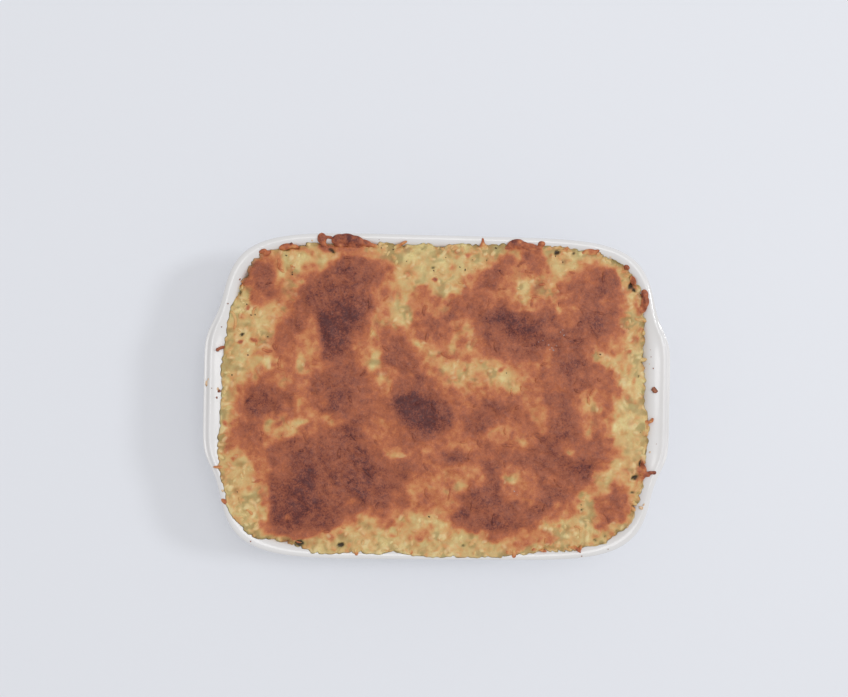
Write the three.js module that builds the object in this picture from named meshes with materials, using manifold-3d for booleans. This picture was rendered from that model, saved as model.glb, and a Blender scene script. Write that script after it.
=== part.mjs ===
// A rice and mince pie, baked and served in its own white glazed oven dish.
// Millimetres, +Z up. X runs along the dish from handle to handle and +Y to the
// long side with the dark cheese drips. The dish stands on z = 0 and the origin
// lies under its middle.

import * as THREE from "three";
import { mergeVertices } from "three/addons/utils/BufferGeometryUtils.js";
import Module from "manifold-3d";

const wasm = await Module();
wasm.setup();

// ---- Driving dimensions ----------------------------------------------------

// Dish
const DISH_LENGTH = 325; // over both handles
const DISH_WIDTH = 225.5; // over the rim of the long sides
const DISH_HEIGHT = 58;
const HANDLE_REACH = 11.8; // a handle stands this far out from the short side
const HANDLE_HALF_WIDTH = 51; // where a handle has fallen to half its reach
const HANDLE_POWER = 8; // how sharply a handle's ends turn in
const CORNER_POWER = 5.8; // superellipse power of the outline
const FLOOR_THICKNESS = 7;
const FOOT_HEIGHT = 1.4; // the recess inside the foot ring
const DISH_STATIONS = 88; // points round each ring of the dish

// Pie
const CLEARANCE = 0.35; // between the food and the glaze
const CRUST_LEVEL = DISH_HEIGHT - 0.6; // mean height of the browned top
const CRUST_DOME = 2.2; // extra height in the middle
const CRUST_SHOULDER = 7; // how far in from its edge the top levels off
const EDGE_THICKNESS = 0.9; // the crust's step up from the glaze at its edge
const GRAIN_PITCH = 5.4; // spacing of the rice bumps
const GRAIN_RELIEF = 1; // how far a bump rises or a pit falls
const GRAIN_JITTER = 0.9; // how unevenly the bumps are spaced
const BUMP_SHARE = 0.42; // of the grid's points, the rest are pits
const EDGE_STATIONS = 220; // points round the ragged edge
const EDGE_RELIEF = 1.3; // how far the ragged edge wanders in and out
const CLEAR_TOP = 90; // well above everything, for the cutting solids
const CLEAR_BOTTOM = -5; // and well below
const CRUST_SEED = 2027;
const EDGE_SEED = 77;

const HALF_WIDTH = DISH_WIDTH / 2;
const HALF_LENGTH = DISH_LENGTH / 2 - HANDLE_REACH; // the body without handles
const CORNER_START = HALF_LENGTH * 0.9; // handles only widen the rim beyond this x

// The section through the wall. Each ring lies `inset` inside the body's outline
// at height z. The second pair is the same ring in the middle of a handle, where
// the rim widens into a flange with a shallow hollow to grip.
const DISH_SECTION = [
  { side: [28, FOOT_HEIGHT], handle: [28, FOOT_HEIGHT] }, // recess under the floor
  { side: [26, 0], handle: [26, 0] }, // foot ring
  { side: [19.5, 0], handle: [19.5, 0] },
  { side: [15.5, 1.6], handle: [15.5, 1.6] }, // heel
  { side: [13.2, 5.4], handle: [13.2, 5.4] },
  { side: [4.6, 45], handle: [4.6, 45] }, // outer wall
  { side: [3.4, 50.4], handle: [1.6, 50] }, // under the lip
  { side: [0.9, 52.6], handle: [-10.9, 52.4] },
  { side: [0, 54.6], handle: [-HANDLE_REACH, 54.2] }, // lip edge
  { side: [0.5, 56.8], handle: [-11.2, 56] },
  { side: [1.5, 57.7], handle: [-9.6, 55.8] }, // the flange's hollow
  { side: [2.8, DISH_HEIGHT], handle: [-7.1, DISH_HEIGHT] }, // crest
  { side: [4.7, 57.5], handle: [-4.4, 57.3] },
  { side: [7, 55.6], handle: [3, 55.2] }, // shoulder
  { side: [8.6, 51.6], handle: [6.8, 51.4] },
  { side: [17.6, 14], handle: [17.6, 14] }, // inner wall
  { side: [19.8, 9.2], handle: [19.8, 9.2] },
  { side: [24, FLOOR_THICKNESS], handle: [24, FLOOR_THICKNESS] }, // floor
];
const LIP_RING = 8; // food may lie over the section from here on
const CREST_RING = 11;
const SHOULDER_RING = 13;

// Where the crust ends, as inset from the body's outline, going anticlockwise
// from the middle of the +X handle: [direction in degrees, inset]. The pie shrank
// from the corners and filled the -X end and the -Y side up to the lip.
const CRUST_EDGE = [
  [0, 5],
  [14, 6],
  [36, 6.8],
  [50, 5.6],
  [62, 5.6],
  [90, 7],
  [108, 6.6],
  [122, 6],
  [140, 5.3],
  [152, 7.9],
  [162, 4],
  [170, 0.9],
  [198, -0.4],
  [206, 2.4],
  [214, 4.2],
  [223, 7.4],
  [234, 4.4],
  [252, 4.4],
  [268, 2.7],
  [288, 2.9],
  [308, 6.2],
  [330, 7.3],
  [344, 5],
  [353, 2.4],
];

// Where the top stands a little higher and the grill browned it darkest:
// middle x, y, radius along x, radius along y, height.
const MOUNDS = [
  [-70, 62, 30, 38, 1.8],
  [-112, 8, 22, 14, 1.2],
  [-95, -56, 42, 34, 1.6],
  [-18, -4, 22, 20, 1.2],
  [80, 62, 48, 24, 1.7],
  [92, -10, 34, 40, 1.4],
  [46, -76, 36, 24, 1.5],
  [124, -74, 12, 16, 1.2],
];

// Toasted cheese that is fused to the crust and laps over the rim: middle x, y,
// half sizes along and across, height of its top, turn in degrees.
const CHEESE_LAPS = [
  [-83.2, 107.4, 4.2, 3.2, 59.6, 84], // round drip on its stalk
  [-81.2, 102.8, 4.4, 2.2, 58.8, 108],
  [-78, 109, 4.4, 1.6, 59.3, -8], // thin bridge
  [-70, 106.8, 7, 4.8, 60, 14], // dark mass
  [-62, 107.2, 7.6, 4.4, 60.2, -6],
  [-51.5, 105.2, 6.6, 2.6, 59, -14],
  [-27.5, 106.6, 4.4, 1.5, 58.8, 24],
  [28.2, 107.4, 5.1, 1.8, 59.2, 92], // spike
  [28.4, 105, 4.4, 3.2, 58.4, 0],
  [51, 107, 8, 5, 59.8, 10], // dark drip
  [61, 105.8, 8, 4.4, 59.4, -14],
  [69, 108, 2.8, 3.6, 59.2, 90],
  [86, 104.6, 3.4, 2, 58.2, 40],
  [103.7, 103.2, 5.6, 2.9, 58.2, -6], // flake
  [-121.3, 97.4, 4.4, 2.6, 57.6, 34],
  [-107, 102, 5, 2.2, 57.9, 30],
  [141.9, 72.4, 5.4, 2.4, 59, -72], // curved strand
  [141.6, 65, 4.8, 2.2, 58.6, -118],
  [146.6, -15.2, 5.4, 1.6, 58.7, 14],
  [145, -19, 8, 2.6, 58, 92], // orange rind
  [143.8, -49, 6.4, 3.6, 58.8, -54], // cluster
  [148.6, -50.6, 5, 1.5, 58.8, 6],
  [-150.4, 31.8, 5, 1.6, 59.6, 12], // strands on the -X end
  [-150.6, -49.9, 4.8, 1.5, 59.6, 0],
  [-144, -74.4, 4.8, 2.3, 58.6, -30],
  [97, -103.6, 5.4, 2.8, 59.2, -24], // flakes on the -Y side
  [70.6, -104.8, 5.4, 1.9, 59.2, 14],
  [-94.8, -99.4, 3.6, 3, 58.2, 0],
  [3, -108.4, 3.8, 1.6, 59.1, 84],
  [-17.8, -107.4, 3.4, 1.6, 59, 96],
  [-55.7, -108, 3.8, 1.7, 59.2, 100],
  [26, -107.8, 3.8, 1.6, 59.1, 80],
  [53.9, -108, 4, 1.7, 59.1, 86],
];
const LAP_HALF_THICKNESS = 3; // the lower part sinks into the crust

// ---- Outline ---------------------------------------------------------------

// How much of a handle a place at this y has, from 0 to 1 in its middle.
function handleShare(y) {
  return 1 / (1 + Math.abs(y / HANDLE_HALF_WIDTH) ** HANDLE_POWER);
}

// The body's outline, drawn in by `inset`, in the direction `angle`.
function bodyPoint(angle, inset) {
  const a = HALF_LENGTH - inset;
  const b = HALF_WIDTH - inset;
  const across = Math.abs(Math.cos(angle) / a) ** CORNER_POWER;
  const along = Math.abs(Math.sin(angle) / b) ** CORNER_POWER;
  const radius = (across + along) ** (-1 / CORNER_POWER);
  return new THREE.Vector2(radius * Math.cos(angle), radius * Math.sin(angle));
}

// The inset at which the outline passes through a point, by halving.
function insetAt(x, y) {
  let low = -20;
  let high = HALF_WIDTH - 0.01;
  for (let step = 0; step < 20; step += 1) {
    const middle = (low + high) / 2;
    const across = Math.abs(x / (HALF_LENGTH - middle)) ** CORNER_POWER;
    const along = Math.abs(y / (HALF_WIDTH - middle)) ** CORNER_POWER;
    if (across + along < 1) {
      low = middle;
    } else {
      high = middle;
    }
  }
  return (low + high) / 2;
}

// Directions round the outline, closer together where it turns.
function stationAngles(count) {
  const fine = 7200;
  const turnWeight = 26; // one radian of turn counts as this many millimetres
  const reach = [0];
  let before = bodyPoint((-2 * Math.PI) / fine, 0);
  let here = bodyPoint(0, 0);
  let heading = here.clone().sub(before).angle();
  for (let i = 1; i <= fine; i += 1) {
    before = here;
    here = bodyPoint((2 * Math.PI * i) / fine, 0);
    const next = here.clone().sub(before).angle();
    const turn = Math.abs(Math.atan2(Math.sin(next - heading), Math.cos(next - heading)));
    reach.push(reach[i - 1] + here.distanceTo(before) + turnWeight * turn);
    heading = next;
  }
  const angles = [];
  let i = 0;
  for (let k = 0; k < count; k += 1) {
    const target = (reach[fine] * k) / count;
    while (reach[i + 1] < target) {
      i += 1;
    }
    const part = (target - reach[i]) / (reach[i + 1] - reach[i]);
    angles.push((2 * Math.PI * (i + part)) / fine);
  }
  return angles;
}

// ---- Solids ----------------------------------------------------------------

// A closed solid from rings of equal count, with flat fans over both ends.
function loft(rings) {
  const count = rings[0].length;
  const points = rings.flat();
  const faces = [];
  for (let r = 0; r + 1 < rings.length; r += 1) {
    for (let i = 0; i < count; i += 1) {
      const next = (i + 1) % count;
      const a = r * count + i;
      const b = r * count + next;
      faces.push(a, b, b + count, a, b + count, a + count);
    }
  }
  for (const [ring, flip] of [[0, true], [rings.length - 1, false]]) {
    const middle = points.length;
    points.push(new THREE.Vector3(0, 0, rings[ring][0].z));
    for (let i = 0; i < count; i += 1) {
      const a = ring * count + i;
      const b = ring * count + ((i + 1) % count);
      faces.push(...(flip ? [middle, b, a] : [middle, a, b]));
    }
  }
  const geometry = new THREE.BufferGeometry().setFromPoints(points);
  geometry.setIndex(faces);
  return geometry;
}

function toSolid(geometry) {
  const shape = geometry.clone();
  shape.deleteAttribute("normal");
  shape.deleteAttribute("uv");
  const merged = mergeVertices(shape, 1e-4);
  return new wasm.Manifold(
    new wasm.Mesh({
      numProp: 3,
      vertProperties: merged.attributes.position.array,
      triVerts: Uint32Array.from(merged.index.array),
    }),
  );
}

function toGeometry(solid) {
  const mesh = solid.getMesh();
  const geometry = new THREE.BufferGeometry();
  geometry.setAttribute("position", new THREE.BufferAttribute(mesh.vertProperties, 3));
  geometry.setIndex(new THREE.BufferAttribute(mesh.triVerts, 1));
  geometry.computeVertexNormals();
  return geometry;
}

// One ring of the dish: its inset and height slide from `side` to `handle`.
function dishRing(section, angles) {
  return angles.map((angle) => {
    const edge = bodyPoint(angle, 0);
    const share = Math.abs(edge.x) > CORNER_START ? handleShare(edge.y) : 0;
    const inset = THREE.MathUtils.lerp(section.side[0], section.handle[0], share);
    const height = THREE.MathUtils.lerp(section.side[1], section.handle[1], share);
    const plain = bodyPoint(angle, section.side[0]);
    const bulge = section.side[0] - inset;
    return new THREE.Vector3(plain.x + Math.sign(plain.x) * bulge, plain.y, height);
  });
}

// The section from the lip inwards, moved off the glaze by the clearance.
function clearSection() {
  const shifted = [];
  for (let i = LIP_RING; i < DISH_SECTION.length; i += 1) {
    const ring = {};
    for (const place of ["side", "handle"]) {
      const here = DISH_SECTION[i][place];
      const before = DISH_SECTION[i - 1][place];
      const after = DISH_SECTION[Math.min(i + 1, DISH_SECTION.length - 1)][place];
      const along = new THREE.Vector2(after[0] - before[0], after[1] - before[1]).normalize();
      ring[place] = [here[0] - along.y * CLEARANCE, here[1] + along.x * CLEARANCE];
    }
    shifted.push(ring);
  }
  return shifted;
}

// All the room that food may fill: the hollow, and the space over the lip.
function roomForFood(angles) {
  const outside = -HANDLE_REACH - 6;
  const lipHeight = DISH_SECTION[LIP_RING].side[1];
  const sections = [
    { side: [outside, CLEAR_TOP], handle: [outside, CLEAR_TOP] },
    { side: [outside, lipHeight], handle: [outside, lipHeight] },
    ...clearSection(),
  ];
  return toSolid(loft(sections.reverse().map((section) => dishRing(section, angles))));
}

// ---- The pie's top ---------------------------------------------------------

// A value between the stations of CRUST_EDGE, smooth all the way round.
function crustEdge(angle) {
  const degrees = (THREE.MathUtils.radToDeg(angle) + 360) % 360;
  let i = CRUST_EDGE.length - 1;
  while (i > 0 && CRUST_EDGE[i][0] > degrees) {
    i -= 1;
  }
  const [from, start] = CRUST_EDGE[i];
  const [to, end] = CRUST_EDGE[(i + 1) % CRUST_EDGE.length];
  const span = (to - from + 360) % 360;
  const part = THREE.MathUtils.smoothstep((degrees - from) / span, 0, 1);
  return THREE.MathUtils.lerp(start, end, part);
}

// Slow swells of the baked top, a few centimetres apart.
function swell(x, y) {
  const long = Math.sin(x / 19 + 1.3 * Math.sin(y / 31)) * Math.cos(y / 17 - 0.8);
  const short = Math.sin(x / 8.3 - y / 11.7 + 2.1) * Math.sin(y / 7.1 + x / 23);
  return 0.7 * long + 0.45 * short;
}

function mounds(x, y) {
  let height = 0;
  for (const [cx, cy, rx, ry, rise] of MOUNDS) {
    const away = ((x - cx) / rx) ** 2 + ((y - cy) / ry) ** 2;
    height += rise * Math.exp(-1.4 * away * away);
  }
  return height;
}

// Height of the glaze under a point near the lip, at the given inset.
function glazeHeight(inset, y) {
  const share = handleShare(y);
  let height = DISH_HEIGHT;
  for (let i = CREST_RING; i <= SHOULDER_RING; i += 1) {
    const [from, to] = [DISH_SECTION[i], DISH_SECTION[i + 1]];
    const start = THREE.MathUtils.lerp(from.side[0], from.handle[0], share);
    const end = THREE.MathUtils.lerp(to.side[0], to.handle[0], share);
    if (inset >= start) {
      const part = THREE.MathUtils.clamp((inset - start) / (end - start), 0, 1);
      const high = THREE.MathUtils.lerp(from.side[1], from.handle[1], share);
      const low = THREE.MathUtils.lerp(to.side[1], to.handle[1], share);
      height = THREE.MathUtils.lerp(high, low, part);
    }
  }
  return height;
}

function crustHeight(x, y) {
  const angle = Math.atan2(y, x);
  const edge = crustEdge(angle);
  const away = Math.max(insetAt(x, y) - edge, 0);
  const onShortSide = Math.abs(x) > HALF_LENGTH - 20;
  const rim = glazeHeight(edge, onShortSide ? y : HALF_WIDTH) + EDGE_THICKNESS;
  const fromMiddle = Math.min(Math.hypot(x / HALF_LENGTH, y / HALF_WIDTH), 1);
  const level = CRUST_LEVEL + CRUST_DOME * (1 - fromMiddle ** 2) + swell(x, y) + mounds(x, y);
  const risen = 1 - Math.exp(-away / CRUST_SHOULDER);
  return THREE.MathUtils.lerp(rim, level, risen);
}

// A repeatable stream of numbers from 0 to 1.
function seededRandom(seed) {
  let state = seed;
  return () => {
    state = (state * 1664525 + 1013904223) % 4294967296;
    return state / 4294967296;
  };
}

// A slab whose top is the bumpy crust, on a grid of near-equal triangles.
function crustSlab() {
  const random = seededRandom(CRUST_SEED);
  const rowPitch = GRAIN_PITCH * Math.sin(Math.PI / 3);
  const rows = 2 * Math.ceil((HALF_WIDTH + 2 * GRAIN_PITCH) / rowPitch);
  const columns = 2 * Math.ceil((HALF_LENGTH + HANDLE_REACH + GRAIN_PITCH) / GRAIN_PITCH);
  const points = [];
  for (let row = 0; row <= rows; row += 1) {
    for (let column = 0; column <= columns; column += 1) {
      const stagger = row % 2 === 0 ? 0.25 : -0.25;
      const x = (column - columns / 2 + stagger) * GRAIN_PITCH + (random() - 0.5) * GRAIN_JITTER;
      const y = (row - rows / 2) * rowPitch + (random() - 0.5) * GRAIN_JITTER;
      const away = insetAt(x, y) - crustEdge(Math.atan2(y, x));
      const fade = THREE.MathUtils.smoothstep(away, -1, 4);
      const bump = (random() < BUMP_SHARE ? 1 : -1) * GRAIN_RELIEF * (0.35 + 0.65 * random());
      points.push(new THREE.Vector3(x, y, crustHeight(x, y) + bump * (0.3 + 0.7 * fade)));
    }
  }
  const faces = [];
  const wide = columns + 1;
  for (let row = 0; row < rows; row += 1) {
    for (let column = 0; column < columns; column += 1) {
      const a = row * wide + column;
      const [b, c, d] = [a + 1, a + wide, a + wide + 1];
      faces.push(...(row % 2 === 0 ? [a, b, d, a, d, c] : [a, b, c, b, d, c]));
    }
  }
  const border = [];
  for (let i = 0; i < columns; i += 1) {
    border.push(i);
  }
  for (let i = 0; i < rows; i += 1) {
    border.push(i * wide + columns);
  }
  for (let i = columns; i > 0; i -= 1) {
    border.push(rows * wide + i);
  }
  for (let i = rows; i > 0; i -= 1) {
    border.push(i * wide);
  }
  const low = points.length;
  for (const index of border) {
    points.push(new THREE.Vector3(points[index].x, points[index].y, CLEAR_BOTTOM));
  }
  const middle = points.length;
  points.push(new THREE.Vector3(0, 0, CLEAR_BOTTOM));
  for (let i = 0; i < border.length; i += 1) {
    const next = (i + 1) % border.length;
    faces.push(border[i], low + next, border[next], border[i], low + i, low + next);
    faces.push(middle, low + next, low + i);
  }
  const geometry = new THREE.BufferGeometry().setFromPoints(points);
  geometry.setIndex(faces);
  return toSolid(geometry);
}

// An upright column whose plan is the ragged edge of the crust.
function raggedColumn() {
  const random = seededRandom(EDGE_SEED);
  const angles = stationAngles(EDGE_STATIONS);
  const rings = [[], []];
  for (const angle of angles) {
    const wander = 0.55 * Math.sin(angle * 23 + 1) + 0.45 * Math.sin(angle * 41 + 2.5);
    const inset = crustEdge(angle) + EDGE_RELIEF * (0.5 * wander + 0.9 * (random() - 0.5));
    const place = bodyPoint(angle, inset);
    rings[0].push(new THREE.Vector3(place.x, place.y, CLEAR_BOTTOM));
    rings[1].push(new THREE.Vector3(place.x, place.y, CLEAR_TOP));
  }
  return toSolid(loft(rings));
}

// A flattened lump of toasted cheese.
function cheeseLap([x, y, along, across, top, turn]) {
  const lump = new THREE.SphereGeometry(1, 8, 5);
  lump.rotateX(Math.PI / 2);
  lump.scale(along, across, LAP_HALF_THICKNESS);
  lump.rotateZ(THREE.MathUtils.degToRad(turn));
  lump.translate(x, y, top - LAP_HALF_THICKNESS);
  return toSolid(lump);
}

// The largest body of a solid: loose scraps of its cut edge are dropped.
function largestBody(solid) {
  const bodies = solid.decompose();
  return bodies.reduce((best, body) => (body.volume() > best.volume() ? body : best));
}

// ---- Assembly --------------------------------------------------------------

const glaze = new THREE.MeshStandardMaterial({ color: 0xe9e8e6, roughness: 0.18, metalness: 0 });
const bakedTop = new THREE.MeshStandardMaterial({ color: 0xa9683f, roughness: 0.75, metalness: 0 });

function makeDish() {
  const angles = stationAngles(DISH_STATIONS);
  const dish = new THREE.Mesh(loft(DISH_SECTION.map((section) => dishRing(section, angles))), glaze);
  dish.geometry.computeVertexNormals();
  dish.name = "dish";
  return dish;
}

function makePie() {
  const room = roomForFood(stationAngles(DISH_STATIONS));
  let food = crustSlab().intersect(raggedColumn());
  for (const lap of CHEESE_LAPS) {
    food = food.add(cheeseLap(lap));
  }
  const pie = new THREE.Mesh(toGeometry(largestBody(food.intersect(room))), bakedTop);
  pie.name = "pie";
  return pie;
}

const ricePie = new THREE.Group();
ricePie.name = "rice_and_mince_pie";
ricePie.add(makeDish(), makePie());

export default ricePie;
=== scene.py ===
# %% [markdown]
# # A rice and mince pie in its glazed oven dish
#
# The pie is a bed of rice and mince under egg and grated cheese, baked in a white
# stoneware dish and browned under the grill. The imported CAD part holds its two
# solids, the dish and the pie, in the right size and place. This notebook dresses
# them: a round, glossy dish, a toasted top with grains and strands that can be
# seen one by one, and the drips, flecks and crumbs that an oven leaves behind.
#
# Everything is worked out in millimetres and turned into metres when a mesh is
# made, because a maker thinks of a grain of rice as 6 mm and not as 0.006 m.

import math

import bpy
import numpy as np
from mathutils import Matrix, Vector
from mathutils.bvhtree import BVHTree


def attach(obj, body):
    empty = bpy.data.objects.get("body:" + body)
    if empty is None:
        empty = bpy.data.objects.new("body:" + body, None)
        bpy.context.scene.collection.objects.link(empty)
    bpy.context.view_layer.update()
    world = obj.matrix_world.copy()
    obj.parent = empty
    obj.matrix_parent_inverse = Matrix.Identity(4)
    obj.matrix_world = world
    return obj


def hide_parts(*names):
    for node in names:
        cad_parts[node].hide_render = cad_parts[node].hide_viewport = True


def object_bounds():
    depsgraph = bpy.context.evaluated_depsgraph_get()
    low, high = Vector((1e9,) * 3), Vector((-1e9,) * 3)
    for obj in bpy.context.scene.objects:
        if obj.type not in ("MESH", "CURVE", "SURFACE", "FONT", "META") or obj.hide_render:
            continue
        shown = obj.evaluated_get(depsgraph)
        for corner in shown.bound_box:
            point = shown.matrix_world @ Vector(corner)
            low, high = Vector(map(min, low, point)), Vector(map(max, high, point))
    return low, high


MM = 0.001

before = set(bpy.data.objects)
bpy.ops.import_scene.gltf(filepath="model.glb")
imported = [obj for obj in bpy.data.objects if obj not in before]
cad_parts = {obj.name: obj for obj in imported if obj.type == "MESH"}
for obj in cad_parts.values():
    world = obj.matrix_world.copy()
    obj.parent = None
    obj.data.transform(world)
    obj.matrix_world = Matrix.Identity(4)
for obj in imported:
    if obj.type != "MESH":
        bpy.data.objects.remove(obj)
cad_low, cad_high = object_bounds()
print("packed part, mm:", [round((b - a) / MM, 2) for a, b in zip(cad_low, cad_high)])

# %% [markdown]
# ## Small tools
#
# A mesh is a list of points and a list of faces, so one helper turns both into a
# Blender object. A number that varies over a surface, such as how brown it is,
# travels with the mesh as an attribute that the material can read.
#
# Food has no straight lines. Smooth random fields, called value noise, give the
# unevenness: random values on a square lattice with soft blends in between. A sum
# of a few sizes looks natural. Every draw has a seed, so the pie always comes out
# the same.


# %% Meshes and attributes
def add_mesh(name, points, faces):
    mesh = bpy.data.meshes.new(name)
    mesh.from_pydata((np.asarray(points, float) * MM).tolist(), [], [tuple(f) for f in faces])
    mesh.update()
    mesh.polygons.foreach_set("use_smooth", [True] * len(mesh.polygons))
    piece = bpy.data.objects.new(name, mesh)
    bpy.context.scene.collection.objects.link(piece)
    return piece


def add_attribute(piece, name, values):
    layer = piece.data.attributes.new(name, "FLOAT", "POINT")
    layer.data.foreach_set("value", np.asarray(values, np.float32))


def corners(piece):
    """The points of a piece, in millimetres."""
    flat = np.zeros(3 * len(piece.data.vertices), np.float32)
    piece.data.vertices.foreach_get("co", flat)
    return flat.reshape(-1, 3).astype(float) / MM


def count_triangles(piece):
    return sum(len(face.vertices) - 2 for face in piece.data.polygons)


# %% Noise and blends
def soft_step(value, start, end):
    part = np.clip((value - start) / (end - start), 0, 1)
    return part * part * (3 - 2 * part)


def blend(a, b, part):
    return a + (b - a) * part


def along_and_across(away_x, away_y, half_length, half_width, turn):
    """How far along and across an oval a place lies, where 1 is the oval's edge."""
    c, s = math.cos(turn), math.sin(turn)
    return (away_x * c + away_y * s) / half_length, (away_y * c - away_x * s) / half_width


def turned_in_plan(points, turn):
    c, s = math.cos(turn), math.sin(turn)
    x, y, z = points[:, 0], points[:, 1], points[:, 2]
    return np.stack([x * c - y * s, x * s + y * c, z], 1)


def noise(x, y, size, seed):
    """Smooth random values from -1 to 1 that change over about `size` millimetres."""
    lattice = np.random.default_rng(seed).random((256, 256))
    column, row = np.floor(x / size).astype(int), np.floor(y / size).astype(int)
    across = soft_step(x / size - column, 0, 1)
    along = soft_step(y / size - row, 0, 1)
    column, row = column % 256, row % 256
    right, above = (column + 1) % 256, (row + 1) % 256
    near = blend(lattice[column, row], lattice[right, row], across)
    far = blend(lattice[column, above], lattice[right, above], across)
    return 2 * blend(near, far, along) - 1


def layered_noise(x, y, size, seed, layers=3):
    total = 0
    for layer in range(layers):
        total = total + noise(x + 31.7 * layer, y - 17.3 * layer, size / 2**layer, seed + layer) / 2**layer
    return total / (2 - 2 ** (1 - layers))


# %% [markdown]
# ## The shape of the dish
#
# The dish is a loft: one line, the section through its wall, carried round an
# outline. The outline is a superellipse, a rounded rectangle from one formula. At
# both short sides the rim widens into a handle, so the section is given twice, for
# a plain side and for the middle of a handle, and the loft slides between them.
#
# A potter's edges are round. The section's points are joined by smooth curves
# whose slope at each point is the mean of its neighbours, weighted by distance,
# which rounds the edges and never swings wide of the points.

# %% Outline of the dish
DISH_LENGTH = 325
DISH_WIDTH = 225.5
DISH_HEIGHT = 58
HANDLE_REACH = 11.8
HANDLE_HALF_WIDTH = 51
HANDLE_POWER = 8
CORNER_POWER = 5.8
HALF_WIDTH = DISH_WIDTH / 2
HALF_LENGTH = DISH_LENGTH / 2 - HANDLE_REACH
CORNER_START = 0.9 * HALF_LENGTH


def body_radius(angle, inset):
    """Distance from the middle to the dish's outline, drawn in by `inset`."""
    across = np.abs(np.cos(angle) / (HALF_LENGTH - inset)) ** CORNER_POWER
    along = np.abs(np.sin(angle) / (HALF_WIDTH - inset)) ** CORNER_POWER
    return (across + along) ** (-1 / CORNER_POWER)


def body_point(angle, inset):
    radius = body_radius(angle, inset)
    return radius * np.cos(angle), radius * np.sin(angle)


def handle_share(angle):
    """How much of a handle the rim has in this direction, from 0 to 1."""
    x, y = body_point(angle, 0)
    share = 1 / (1 + np.abs(y / HANDLE_HALF_WIDTH) ** HANDLE_POWER)
    return np.where(np.abs(x) > CORNER_START, share, 0)


def even_angles(count):
    """Directions that part the outline into stretches of equal length."""
    fine = np.linspace(0, 2 * np.pi, 20001)
    x, y = body_point(fine, 0)
    reach = np.concatenate([[0], np.cumsum(np.hypot(np.diff(x), np.diff(y)))])
    return np.interp(np.arange(count) / count * reach[-1], reach, fine)


# %% Section of the wall
# [inset from the outline, height]: for a plain side, and in the middle of a handle
DISH_SECTION = [
    ([28, 1.4], [28, 1.4]),  # recess under the floor
    ([26, 0], [26, 0]),  # foot ring
    ([19.5, 0], [19.5, 0]),
    ([15.5, 1.6], [15.5, 1.6]),  # heel
    ([13.2, 5.4], [13.2, 5.4]),
    ([4.6, 45], [4.6, 45]),  # outer wall
    ([3.4, 50.4], [1.6, 50]),  # under the lip
    ([0.9, 52.6], [-10.9, 52.4]),
    ([0, 54.6], [-HANDLE_REACH, 54.2]),  # lip edge
    ([0.5, 56.8], [-11.2, 56]),
    ([1.5, 57.7], [-9.6, 55.8]),  # hollow of the flange
    ([2.8, DISH_HEIGHT], [-7.1, DISH_HEIGHT]),  # crest
    ([4.7, 57.5], [-4.4, 57.3]),
    ([7, 55.6], [3, 55.2]),  # shoulder
    ([8.6, 51.6], [6.8, 51.4]),
    ([17.6, 14], [17.6, 14]),  # inner wall
    ([19.8, 9.2], [19.8, 9.2]),
    ([24, 7], [24, 7]),  # floor
]
FOOT_RINGS = 4  # the first rings keep their edges, the others are rounded
CREST_RING = 11
STEPS_PER_RING = 6


def rounded_line(points, steps):
    """A smooth line through the points, with `steps` places for each stretch."""
    points = np.array(points, float)
    stretch = np.hypot(*np.diff(points, axis=0).T)[:, None]
    slope = np.diff(points, axis=0) / stretch
    middle = (slope[1:] * stretch[:-1] + slope[:-1] * stretch[1:]) / (stretch[1:] + stretch[:-1])
    tangent = np.concatenate([slope[:1], middle, slope[-1:]])
    places = [points[0]]
    for i in range(len(points) - 1):
        for t in np.arange(1, steps + 1) / steps:
            start = (1 + 2 * t) * (1 - t) ** 2 * points[i] + t * (1 - t) ** 2 * stretch[i] * tangent[i]
            end = t * t * (3 - 2 * t) * points[i + 1] + t * t * (t - 1) * stretch[i] * tangent[i + 1]
            places.append(start + end)
    return np.array(places)


def wall_line(which):
    ends = [ring[which] for ring in DISH_SECTION[: FOOT_RINGS - 1]]
    rounded = rounded_line([ring[which] for ring in DISH_SECTION[FOOT_RINGS - 1 :]], STEPS_PER_RING)
    outermost = min(ring[which][0] for ring in DISH_SECTION)
    line = np.concatenate([np.array(ends, float), rounded])
    line[:, 0] = np.maximum(line[:, 0], outermost)
    line[:, 1] = np.clip(line[:, 1], 0, DISH_HEIGHT)
    return line


side_line, handle_line = wall_line(0), wall_line(1)
CREST_STEP = FOOT_RINGS - 1 + (CREST_RING - FOOT_RINGS + 1) * STEPS_PER_RING
print("rings of the dish:", len(side_line), "crest at", side_line[CREST_STEP].round(2))


# %% Loft of the dish
DISH_STATIONS = 520


def on_the_dish(angle, side, handle):
    """The place of a section point [inset, height] in the directions `angle`."""
    share = handle_share(angle)
    inset, height = (blend(s, h, share) for s, h in zip(side, handle))
    x, y = body_point(angle, side[0])
    return np.stack([x + np.sign(x) * (side[0] - inset), y, height + 0 * x], -1)


def ring_faces(rings, count):
    """Quads between rings of `count` points that follow one another."""
    i = np.arange(count)
    after = (i + 1) % count
    quads = [
        np.stack([i, after, after + count, i + count], 1) + ring * count for ring in range(rings - 1)
    ]
    return np.concatenate(quads).tolist()


def fan(first, count, middle, flip):
    pairs = [(first + i, first + (i + 1) % count) for i in range(count)]
    return [(middle, b, a) if flip else (middle, a, b) for a, b in pairs]


stations = even_angles(DISH_STATIONS)
rings = [on_the_dish(stations, side, handle) for side, handle in zip(side_line, handle_line)]
points = np.concatenate(rings + [[[0, 0, rings[0][0][2]], [0, 0, rings[-1][0][2]]]])
faces = ring_faces(len(rings), DISH_STATIONS)
faces += fan(0, DISH_STATIONS, len(points) - 2, True)
faces += fan((len(rings) - 1) * DISH_STATIONS, DISH_STATIONS, len(points) - 1, False)
dish = add_mesh("oven_dish", points, faces)
print("oven_dish:", count_triangles(dish), "triangles")

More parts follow.
